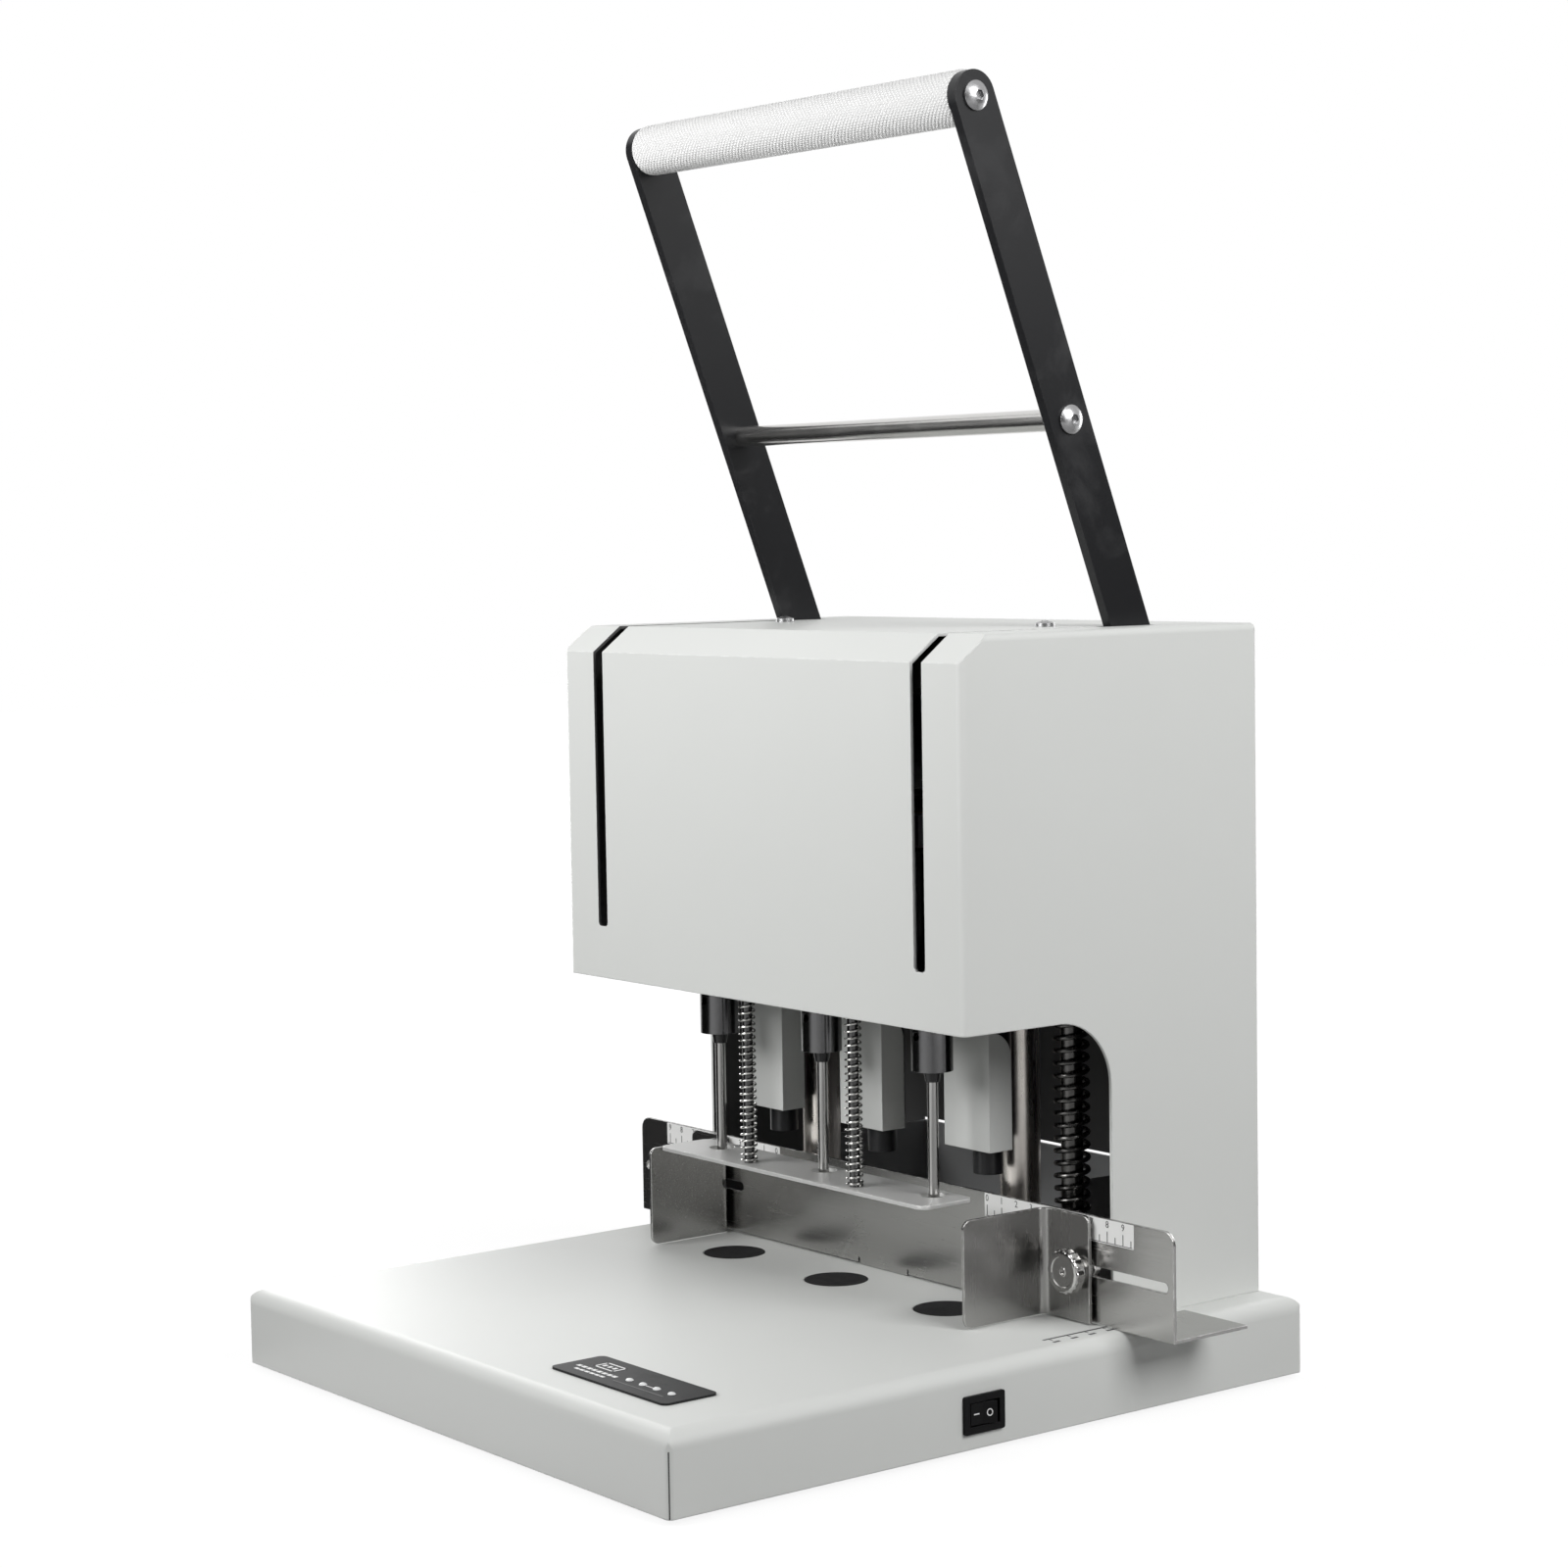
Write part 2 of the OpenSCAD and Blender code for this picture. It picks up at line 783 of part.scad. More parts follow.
module rocker() {
  half_w = switch_body_w / 2 - switch_wall - rocker_gap;
  half_h = switch_body_h / 2 - switch_wall - rocker_gap;
  pin_h = switch_body_h / 2 - rocker_gap;
  color("#1f2022")
    translate([base_w / 2 - rocker_back, switch_y, switch_z])
      rotate([0, 0, -rocker_tilt])
        union() {
          linear_extrude(2 * half_h, center = true)
            polygon([
              [-rocker_pin_r, -rocker_pin_r],
              [rocker_t, -half_w + rocker_inset],
              [rocker_t - rocker_dip, 0],
              [rocker_t, half_w - rocker_inset],
              [-rocker_pin_r, rocker_pin_r]
            ]);
          linear_extrude(2 * pin_h, center = true)
            circle(rocker_pin_r);
        }
}

module mains_inlet() {
  color("#1b1b1c") {
    difference() {
      union() {
        along_y(head_y1, head_y1 + inlet_flange_t)
          translate([inlet_x, inlet_z])
            rounded_rect(inlet_w, inlet_h, guard_t);
        box([inlet_x - inlet_body_w / 2, head_y1 - inlet_body_d, inlet_z - inlet_body_h / 2],
          [inlet_x + inlet_body_w / 2, head_y1, inlet_z + inlet_body_h / 2]);
      }
      box([inlet_x - inlet_mouth_w / 2, head_y1 + inlet_flange_t - inlet_mouth_d,
          inlet_z - inlet_mouth_h / 2],
        [inlet_x + inlet_mouth_w / 2, head_y1 + inlet_flange_t + cut, inlet_z + inlet_mouth_h / 2]);
    }
    for (k = [left, middle, right])
      box([inlet_x + k * inlet_pin_pitch - inlet_pin_w / 2, head_y1 + inlet_flange_t - inlet_mouth_d,
          inlet_z - inlet_pin_h / 2],
        [inlet_x + k * inlet_pin_pitch + inlet_pin_w / 2,
          head_y1 + inlet_flange_t - inlet_mouth_d + inlet_pin_d, inlet_z + inlet_pin_h / 2]);
  }
}

// Side view of the head, drawn in Y and Z: block, bevel, legs and the round between them
module head_side() {
  difference() {
    union() {
      polygon([
        [head_y0, throat_z],
        [head_y0, head_top_z - bevel_h],
        [head_y0 + bevel_d, head_top_z],
        [head_y1, head_top_z],
        [head_y1, deck_z],
        [leg_y, deck_z],
        [leg_y, throat_z]
      ]);
      translate([leg_y - throat_r, throat_z - throat_r])
        square([throat_r, throat_r]);
    }
    translate([leg_y - throat_r, throat_z - throat_r])
      circle(throat_r);
  }
}

// Side view of the space inside the head
module head_hollow() {
  bevel_angle = atan2(bevel_h, bevel_d);
  polygon([
    [head_y0 + sheet_t, deck_z - cut],
    [head_y0 + sheet_t, head_top_z - bevel_h - sheet_t * tan((90 - bevel_angle) / 2)],
    [head_y0 + bevel_d + sheet_t * tan(bevel_angle / 2), head_top_z - sheet_t],
    [head_y1 + cut, head_top_z - sheet_t],
    [head_y1 + cut, deck_z - cut]
  ]);
}

// Head body of a given width whose front and top folds are rounded
module head_body(w, r) {
  intersection() {
    along_x(-w / 2, w / 2)
      children();
    translate([0, head_y1 + cut, 0])
      rotate([0, 0, 180])
        linear_extrude(head_top_z + cut)
          dome_rect(w, head_d + cut - (head_w - w) / 2, r);
    along_y(head_y0 - cut, head_y1 + cut)
      dome_rect(w, head_top_z - (head_w - w) / 2, r);
  }
}

module head_cover() {
  color("#cfd0cd") {
    difference() {
      head_body(head_w, fold_r)
        head_side();
      head_body(head_in_w, fold_r - sheet_t)
        head_hollow();
      for (s = [left, right]) {
        box([s * arm_x - slot_w / 2, head_y0 - cut, deck_z + slot_rise + slot_corner_r],
          [s * arm_x + slot_w / 2, slot_top_y, head_top_z + cut]);
        along_y(head_y0 - cut, head_y0 + sheet_t + cut)
          translate([s * arm_x, deck_z + slot_rise + 2 * slot_corner_r])
            rounded_rect(slot_w, 4 * slot_corner_r, slot_corner_r);
        post(s * cover_screw_x, drill_y + cover_screw_back, head_top_z - sheet_t - cut,
          head_top_z + cut, screw_shank_r + screw_fit);
      }
    }
    box([-head_in_w / 2, head_y0 + sheet_t, throat_z],
      [head_in_w / 2, head_y0 + hem_d, throat_z + sheet_t]);
    for (s = [left, right])
      translate([s * (head_in_w / 2 - foot_flange_w / 2), 0, 0])
        box([-foot_flange_w / 2, leg_y + foot_flange_inset, deck_z],
          [foot_flange_w / 2, head_y1 - foot_flange_inset, deck_z + sheet_t]);
  }
}

module rear_cover() {
  half_w = head_in_w / 2 - rear_side_gap;
  color("#c4c5c2")
    difference() {
      box([-half_w, head_y1 - sheet_t, rear_z0], [half_w, head_y1, rear_z1]);
      box([-tray_w / 2 - tray_side_gap, head_y1 - sheet_t - cut, rear_z0 - cut],
        [tray_w / 2 + tray_side_gap, head_y1 + cut, tray_z0 + tray_h + tray_slit]);
      box([inlet_x - inlet_body_w / 2 - free_gap, head_y1 - sheet_t - cut,
          inlet_z - inlet_body_h / 2 - free_gap],
        [inlet_x + inlet_body_w / 2 + free_gap, head_y1 + cut,
          inlet_z + inlet_body_h / 2 + free_gap]);
    }
}

// Pan-head screw standing on z, its shank reaching down
module pan_screw(x, y, z, len) {
  post(x, y, z - len, z, screw_shank_r);
  translate([x, y, z])
    difference() {
      intersection() {
        cylinder(h = screw_head_h, r = screw_head_r);
        translate([0, 0, screw_head_h - 2 * screw_head_r])
          sphere(2 * screw_head_r);
      }
      for (a = [0, 90])
        rotate([0, 0, a])
          translate([0, 0, screw_head_h])
            cube([screw_head_r, screw_head_r / 4, screw_head_r / 2], center = true);
    }
}

module pan_screws() {
  color("#b9bcc0") {
    for (s = [left, right])
      pan_screw(s * cover_screw_x, drill_y + cover_screw_back, head_top_z,
        sheet_t + seat_gap + top_plate_t);
    pan_screw(0, clamp_y, fence_z0 + fence_t + free_gap, fence_t + free_gap + fence_lift + 2 * sheet_t);
  }
}

module guide_column(s) {
  color("#b4aca4")
    union() {
      post(s * column_x, column_y, shell_z, floor_z + cut, screw_shank_r - screw_fit);
      post(s * column_x, column_y, floor_z, top_plate_z0, column_r);
      post(s * column_x, column_y, floor_z, top_plate_z1 - seat_gap, column_pin_r);
    }
}

module column_left() {
  guide_column(left);
}

module column_right() {
  guide_column(right);
}

module top_plate() {
  y0 = column_y - column_r - top_plate_margin;
  y1 = shaft_y + block_half_d;
  color("#7c8085")
    difference() {
      box([-top_plate_half_w, y0, top_plate_z0], [top_plate_half_w, y1, top_plate_z1]);
      for (s = [left, right]) {
        post(s * column_x, column_y, top_plate_z0 - cut, top_plate_z1 + cut,
          column_pin_r + running_gap);
        post(s * cover_screw_x, drill_y + cover_screw_back, top_plate_z0 - cut, top_plate_z1 + cut,
          screw_shank_r + screw_fit);
      }
      box([-top_window_half_w, column_y, top_plate_z0 - cut],
        [top_window_half_w, shaft_y - block_half_d / 2, top_plate_z1 + cut]);
    }
}

module bearing_plate() {
  half_w = column_x + column_r + bearing_plate_wall;
  wide = max(half_w, hole_pitch + pulley_hub_r + bearing_plate_wall);
  color("#7c8085")
    difference() {
      union() {
        box([-wide, bearing_plate_y0, bearing_plate_z0], [wide, bearing_plate_y1, bearing_plate_z1]);
        for (s = [left, right])
          post(s * column_x, column_y, bearing_plate_z0, bearing_plate_z1 + column_boss_h,
            column_r + column_boss_wall);
      }
      for (k = [left, middle, right]) {
        post(k * hole_pitch, drill_y, bearing_plate_z0 - cut, bearing_plate_z1 + cut,
          pulley_hub_r + running_gap);
        post(k * motor_pitch, motor_y, bearing_plate_z0 - cut, bearing_plate_z1 + cut,
          motor_shaft_r + free_gap);
      }
      for (s = [left, right]) {
        post(s * column_x, column_y, bearing_plate_z0 - cut, bearing_plate_z1 + column_boss_h + cut,
          column_r + running_gap);
        post(s * presser_rod_x, presser_rod_y, bearing_plate_z0 - cut, bearing_plate_z1 + cut,
          sleeve_r + sleeve_clear);
      }
    }
}

module shaft_blocks() {
  color("#6d7176")
    for (s = [left, right])
      difference() {
        translate([s * block_x, 0, 0])
          box([-block_t / 2, shaft_y - block_half_d, shaft_z - block_below],
            [block_t / 2, shaft_y + block_half_d, top_plate_z0]);
        along_x(s * block_x - block_t / 2 - cut, s * block_x + block_t / 2 + cut)
          translate([shaft_y, shaft_z])
            circle(shaft_r + running_gap);
      }
}

module motors() {
  color("#2a2c2e")
    for (k = [left, middle, right])
      difference() {
        union() {
          post(k * motor_pitch, motor_y, motor_z0, bearing_plate_z0, motor_r);
          post(k * motor_pitch, motor_y, motor_z0 - boss_h, motor_z0, boss_r);
        }
        post(k * motor_pitch, motor_y, bearing_plate_z0 - motor_shaft_depth, bearing_plate_z0 + cut,
          motor_shaft_r + running_gap);
      }
}

// Folded guard in front of a motor: face and two flanges with a round upper corner
module motor_guard(k) {
  x0 = k * motor_pitch - guard_w / 2;
  z0 = deck_z + guard_rise;
  box([x0, guard_y0, z0], [x0 + guard_w, guard_y0 + guard_t, guard_top_z]);
  for (x = [x0, x0 + guard_w - guard_t])
    along_x(x, x + guard_t)
      union() {
        translate([guard_y0, z0])
          square([guard_d, guard_corner_z - z0]);
        translate([guard_y0, z0])
          square([guard_d - guard_corner_r, guard_corner_z + guard_corner_r - z0]);
        translate([guard_y0 + guard_d - guard_corner_r, guard_corner_z])
          intersection() {
            circle(guard_corner_r);
            square([guard_corner_r, guard_corner_r]);
          }
      }
}

module motor_guards() {
  color("#c9cac8")
    for (k = [left, middle, right])
      motor_guard(k);
}

// Outline of a loop round two circles, the second at distance d along +X
function loop_points(d, r1, r2) =
  let (a = 90 - asin((r1 - r2) / d), n = belt_steps)
  concat(
    [for (i = [0 : n]) let (t = -a + 2 * a * i / n) [d + r2 * cos(t), r2 * sin(t)]],
    [for (i = [0 : n]) let (t = a + (full_turn - 2 * a) * i / n) [r1 * cos(t), r1 * sin(t)]]
  );

module drive_belts() {
  z0 = pulley_z0 + pulley_rim_h + belt_side_gap;
  h = pulley_h - 2 * pulley_rim_h - 2 * belt_side_gap;
  color("#1d1d1e")
    for (k = [left, middle, right]) {
      dx = k * (motor_pitch - hole_pitch);
      dy = motor_y - drill_y;
      d = sqrt(dx * dx + dy * dy);
      translate([k * hole_pitch, drill_y, z0])
        rotate([0, 0, atan2(dy, dx)])
          linear_extrude(h)
            difference() {
              polygon(loop_points(d, drive_pulley_r + belt_gap + belt_t,
                motor_pulley_r + belt_gap + belt_t));
              polygon(loop_points(d, drive_pulley_r + belt_gap, motor_pulley_r + belt_gap));
            }
    }
}

module return_rod() {
  color("#9b9ea2")
    post(return_x, return_y, deck_z, return_rod_z1, return_rod_r);
}

// Put the lever's own frame, arms along +Z from the shaft, at its rest place
module on_lever() {
  translate([0, shaft_y, shaft_z])
    rotate([lever_lean, 0, 0])
      children();
}

module lever_shaft() {
  color("#8b8f94") {
    along_x(-arm_x - arm_t / 2 - shaft_end, arm_x + arm_t / 2 + shaft_end)
      translate([shaft_y, shaft_z])
        circle(shaft_r);
    for (s = [left, right])
      translate([s * (arm_x - arm_t / 2 - shaft_collar_t / 2 - seat_gap), shaft_y, shaft_z])
        rotate([0, 90, 0])
          cylinder(h = shaft_collar_t, r = shaft_collar_r, center = true);
  }
}

// Involute angle at radius r, in degrees
function involute(r) =
  let (a = acos(min(1, gear_base_r / r)))
  tan(a) * 180 / PI - a;
// Half of a tooth's angle at radius r
function half_tooth(r) =
  90 / gear_teeth - tooth_play / 2 / gear_r * 180 / PI + involute(gear_r) - involute(r);
function flank_r(i) = gear_root_r + (gear_tip_r - gear_root_r) * i / flank_steps;

// Outline of one gear tooth pointing to angle a, drawn about the shaft
function tooth_points(a) = concat(
  [for (i = [0 : flank_steps]) let (t = a - half_tooth(flank_r(i))) flank_r(i) * [cos(t), sin(t)]],
  [for (i = [flank_steps : -1 : 0]) let (t = a + half_tooth(flank_r(i))) flank_r(i) * [cos(t), sin(t)]]
);

// The sector's teeth stand from one before the rack's line to past the top of the swing
module gear_sectors() {
  tooth_angle = full_turn / gear_teeth;
  first = 180 - (sector_teeth - 2) * tooth_angle;
  color("#84888c")
    for (s = [left, right])
      along_x(s * sector_x - sector_t / 2, s * sector_x + sector_t / 2)
        translate([shaft_y, shaft_z])
          difference() {
            union() {
              circle(sector_hub_r);
              polygon(concat([[0, 0]],
                [for (i = [0 : sector_teeth - 1]) each tooth_points(first + i * tooth_angle)]));
            }
            circle(shaft_r + running_gap);
          }
}

module racks() {
  half_root = tooth_pitch / 4 - tooth_play / 2 + gear_module * dedendum_share * tan(pressure_angle);
  half_tip = tooth_pitch / 4 - tooth_play / 2 - gear_module * tan(pressure_angle);
  tip_y = shaft_y - gear_r + gear_module;
  teeth_below = 1;
  last = ceil(stroke / tooth_pitch);
  z1 = shaft_z + (last + 0.5) * tooth_pitch + half_root;
  color("#8a8d91")
    for (s = [left, right])
      along_x(s * sector_x - sector_t / 2, s * sector_x + sector_t / 2)
        union() {
          translate([rack_y0, crosshead_z1])
            square([rack_y1 - rack_y0, z1 - crosshead_z1]);
          for (i = [-teeth_below : last])
            translate([0, shaft_z + (i + 0.5) * tooth_pitch])
              polygon([
                [rack_y1 - cut, -half_root],
                [rack_y1, -half_root],
                [tip_y, -half_tip],
                [tip_y, half_tip],
                [rack_y1, half_root],
                [rack_y1 - cut, half_root]
              ]);
        }
}

module lever_arm(s) {
  color("#1b1c1d")
    on_lever()
      difference() {
        along_x(s * arm_x - arm_t / 2, s * arm_x + arm_t / 2)
          union() {
            circle(arm_w / 2);
            translate([-arm_w / 2, 0])
              square([arm_w, handle_reach]);
            translate([0, handle_reach])
              circle(arm_w / 2);
          }
        along_x(s * arm_x - arm_t / 2 - cut, s * arm_x + arm_t / 2 + cut)
          union() {
            circle(shaft_r + running_gap);
            for (r = [crossbar_reach, handle_reach])
              translate([0, r])
                circle(button_shank_r + screw_fit);
          }
      }
}

module arm_left() {
  lever_arm(left);
}

module arm_right() {
  lever_arm(right);
}

// Round bar between the arms, bored at both ends for its screws
module lever_bar(reach, r) {
  half = arm_x - arm_t / 2;
  on_lever()
    difference() {
      along_x(-half, half)
        translate([0, reach])
          circle(r);
      for (s = [left, right])
        translate([s * half, 0, reach])
          rotate([0, 90, 0])
            cylinder(h = 2 * button_shank_len, r = button_shank_r + screw_fit, center = true);
    }
}

module crossbar() {
  color("#a3a6aa")
    lever_bar(crossbar_reach, crossbar_r);
}

module grip_bar() {
  color("#a3a6aa")
    lever_bar(handle_reach, grip_bar_r);
}

module grip() {
  half = arm_x - arm_t / 2 - seat_gap;
  color("#e6e7e8")
    on_lever()
      difference() {
        along_x(-half, half)
          translate([0, handle_reach])
            circle(grip_r);
        along_x(-half - cut, half + cut)
          translate([0, handle_reach])
            circle(grip_bar_r + running_gap);
      }
}

// Button-head screw on an arm's outer face, pointing inwards
module button_screw(s, reach) {
  shank = arm_t + button_shank_len - cut;
  translate([s * (arm_x + arm_t / 2), 0, reach])
    rotate([0, s * 90, 0])
      difference() {
        union() {
          intersection() {
            cylinder(h = button_head_h, r = button_head_r);
            translate([0, 0, button_head_h - 1.5 * button_head_r])
              sphere(1.5 * button_head_r);
          }
          translate([0, 0, -shank])
            cylinder(h = shank, r = button_shank_r);
        }
        translate([0, 0, button_head_h - button_socket_h])
          cylinder(h = button_socket_h + cut, r = button_socket_r, $fn = 6);
      }
}

module lever_screws() {
  color("#c2c5c8")
    on_lever()
      for (s = [left, right], reach = [crossbar_reach, handle_reach])
        button_screw(s, reach);
}

module crosshead() {
  color("#74787c")
    difference() {
      union() {
        box([-crosshead_half_w, crosshead_y0, crosshead_z0],
          [crosshead_half_w, crosshead_y1, crosshead_z1]);
        box([column_x, return_y - ear_half_d, crosshead_z0],
          [return_x + ear_margin - ear_fit, return_y + ear_half_d, crosshead_z1]);
      }
      box([-window_half_w, drill_y + window_front, crosshead_z0 - cut],
        [window_half_w, crosshead_y1 - window_back, crosshead_z1 + cut]);
      for (k = [left, middle, right])
        post(k * hole_pitch, drill_y, crosshead_z0 - cut, crosshead_z1 + cut, bearing_r + running_gap);
      for (s = [left, right]) {
        post(s * column_x, column_y, crosshead_z0 - cut, crosshead_z1 + cut,
          column_r + bush_wall + running_gap);
        post(s * presser_rod_x, presser_rod_y, crosshead_z0 - cut, crosshead_z1 + cut,
          presser_rod_r + running_gap);
      }
      post(return_x, return_y, crosshead_z0 - cut, crosshead_z1 + cut, return_rod_r + ear_fit);
    }
}

// Ring from z0 to z1
module ring(x, y, z0, z1, outer, inner) {
  difference() {
    post(x, y, z0, z1, outer);
    post(x, y, z0 - cut, z1 + cut, inner);
  }
}

module crosshead_bushes() {
  color("#b08d4c") {
    for (s = [left, right])
      ring(s * column_x, column_y, crosshead_z0 - bush_past, crosshead_z1 + bush_past,
        column_r + bush_wall, column_r + running_gap);
    for (k = [left, middle, right])
      ring(k * hole_pitch, drill_y, crosshead_z0, crosshead_z1, bearing_r, spindle_r + running_gap);
  }
}

module rod_sleeves() {
  color("#9b9ea2")
    for (s = [left, right])
      ring(s * presser_rod_x, presser_rod_y, sleeve_z0, crosshead_z0, sleeve_r,
        presser_rod_r + running_gap);
}

module spindle(k) {
  groove_z0 = chuck_z1 + top_nut_h;
  color("#9a9da1")
    translate([k * hole_pitch, drill_y, 0])
      difference() {
        union() {
          post(0, 0, chuck_z0, chuck_z1, chuck_r);
          translate([0, 0, nose_z0])
            cylinder(h = nose_h, r1 = nose_tip_r, r2 = nose_top_r);
          post(0, 0, chuck_z0, spindle_top_z, spindle_r);
          post(0, 0, crosshead_z0 - collar_gap - collar_h, crosshead_z0 - collar_gap, collar_r);
          post(0, 0, crosshead_z1 + collar_gap, spindle_top_z, collar_r);
        }
        post(0, 0, nose_z0 - cut, chuck_z0 + bit_seat_h, bit_r + bit_fit);
        post(0, 0, chuck_z0, spindle_top_z + cut, bit_r - bit_wall);
        box([-key_w / 2, -spindle_r - cut, groove_z0],
          [key_w / 2, -spindle_r + key_depth, crosshead_z0 - collar_h - collar_gap - key_gap]);
        translate([0, 0, chuck_z0 + set_screw_rise])
          rotate([90, 0, 0])
            cylinder(h = chuck_r + cut, r = set_screw_r);
      }
}

module spindle_left() {
  spindle(left);
}

module spindle_middle() {
  spindle(middle);
}

module spindle_right() {
  spindle(right);
}

module hollow_bit(k) {
  color("#c9cccf")
    translate([k * hole_pitch, drill_y, 0])
      difference() {
        post(0, 0, tip_z, chuck_z0 + bit_seat_h, bit_r);
        post(0, 0, tip_z - cut, chuck_z0 + bit_seat_h + cut, bit_r - bit_wall);
        translate([0, 0, tip_z - cut])
          cylinder(h = tip_bevel_h + cut, r1 = bit_r + bit_wall * cut / tip_bevel_h,
            r2 = bit_r - bit_wall);
      }
}

module bit_left() {
  hollow_bit(left);
}

module bit_middle() {
  hollow_bit(middle);
}

module bit_right() {
  hollow_bit(right);
}

// Flat-belt pulley with two rims, its foot at z = 0
module belt_pulley(r) {
  cylinder(h = pulley_h, r = r);
  cylinder(h = pulley_rim_h, r = r + pulley_rim_past);
  translate([0, 0, pulley_h - pulley_rim_h])
    cylinder(h = pulley_rim_h, r = r + pulley_rim_past);
}

module drive_pulley(k) {
  key_y0 = -spindle_r - running_gap - key_gap;
  color("#9fa3a7")
    translate([k * hole_pitch, drill_y, 0]) {
      difference() {
        union() {
          translate([0, 0, pulley_z0])
            belt_pulley(drive_pulley_r);
          post(0, 0, bearing_plate_z0 + seat_gap, pulley_z0, pulley_hub_r);
        }
        post(0, 0, bearing_plate_z0 - cut, pulley_z0 + pulley_h + cut, spindle_r + running_gap);
      }
      box([-key_w / 2 + key_gap, key_y0 - key_gap, pulley_z0],
        [key_w / 2 - key_gap, -spindle_r + key_depth - key_gap, pulley_z0 + pulley_h]);
    }
}

module drive_pulley_left() {
  drive_pulley(left);
}

module drive_pulley_middle() {
  drive_pulley(middle);
}

module drive_pulley_right() {
  drive_pulley(right);
}

module motor_pulley(k) {
  color("#9fa3a7")
    translate([k * motor_pitch, motor_y, 0]) {
      translate([0, 0, pulley_z0])
        belt_pulley(motor_pulley_r);
      post(0, 0, bearing_plate_z0 - motor_shaft_depth + seat_gap, pulley_z0 + pulley_h,
        motor_shaft_r);
    }
}

module motor_pulley_left() {
  motor_pulley(left);
}

module motor_pulley_middle() {
  motor_pulley(middle);
}

module motor_pulley_right() {
  motor_pulley(right);
}

module presser_plate() {
  color("#b7babd")
    difference() {
      translate([presser_x, (presser_y0 + presser_y1) / 2, presser_z0])
        linear_extrude(presser_t)
          rounded_rect(presser_w, presser_y1 - presser_y0, presser_corner_r);
      for (k = [left, middle, right])
        post(k * hole_pitch, drill_y, presser_z0 - cut, presser_z1 + cut, presser_hole_r);
    }
}

module presser_rods() {
  color("#a9acb0")
    for (s = [left, right]) {
      post(s * presser_rod_x, presser_rod_y, presser_z1, presser_rod_top_z, presser_rod_r);
      post(s * presser_rod_x, presser_rod_y, crosshead_z1 + seat_gap,
        crosshead_z1 + seat_gap + presser_nut_h, presser_nut_r);
    }
}

// Centre line of a compression spring between z0 and z1: a straight leg, the curls, a straight leg
function spring_path(r, wire, z0, z1, curls) =
  let (n = curls * curl_rings, lo = z0 + 2 * wire, hi = z1 - 2 * wire)
  concat(
    [[r, 0, z0], [r, 0, z0 + wire]],
    [for (i = [0 : n]) [r * cos(i * full_turn / curl_rings), r * sin(i * full_turn / curl_rings),
      lo + (hi - lo) * i / n]],
    [[r, 0, z1 - wire], [r, 0, z1]]
  );

// Unit vector
function unit(v) = v / norm(v);
// Direction of a path at point i
function path_dir(p, i) =
  i <= 1 || i >= len(p) - 2 ? [0, 0, 1] : unit(p[i + 1] - p[i - 1]);
// Direction from the spring's axis to point i
function outward(p, i) = unit([p[i][0], p[i][1], 0]);
// One ring of the tube's skin at point i
function ring_points(p, i, r) =
  let (d = path_dir(p, i), u = unit(outward(p, i) - d * (outward(p, i) * d)), v = cross(d, u))
  [for (k = [0 : wire_sides - 1])
    p[i] + r * (cos(k * full_turn / wire_sides) * u + sin(k * full_turn / wire_sides) * v)];

// Unbroken tube along a path, its skin all triangles
module wound_tube(p, wire) {
  n = len(p);
  m = wire_sides;
  skin = [for (i = [0 : n - 1]) each ring_points(p, i, wire / 2)];
  sides = [for (i = [0 : n - 2], k = [0 : m - 1], t = [0, 1])
    let (a = i * m + k, b = i * m + (k + 1) % m, c = a + m, e = b + m)
    t == 0 ? [a, c, b] : [b, c, e]];
  ends = concat(
    [for (k = [1 : m - 2]) [0, k, k + 1]],
    [for (k = [1 : m - 2]) [(n - 1) * m, (n - 1) * m + k + 1, (n - 1) * m + k]]
  );
  polyhedron(points = skin, faces = concat(sides, ends), convexity = 10);
}

// Least gap between a spring's neighbouring curls, measured on its points
function least_gap(p, wire) =
  min([for (i = [2 : len(p) - 3 - curl_rings]) norm(p[i + curl_rings] - p[i])]) - wire;

presser_path = spring_path(presser_spring_r - presser_wire / 2, presser_wire, presser_z1, sleeve_z0,
  presser_curls);
return_path = spring_path(return_spring_r - return_wire / 2, return_wire, deck_z, return_top_z,
  return_curls);
echo(least_gap_presser_spring = least_gap(presser_path, presser_wire));
echo(least_gap_return_spring = least_gap(return_path, return_wire));

module presser_spring(s) {
  color("#b9bcbf")
    translate([s * presser_rod_x, presser_rod_y, 0])
      wound_tube(presser_path, presser_wire);
}

module presser_spring_left() {
  presser_spring(left);
}

module presser_spring_right() {
  presser_spring(right);
}

module return_spring() {
  color("#4a4d50")
    translate([return_x, return_y, 0])
      wound_tube(return_path, return_wire);
}

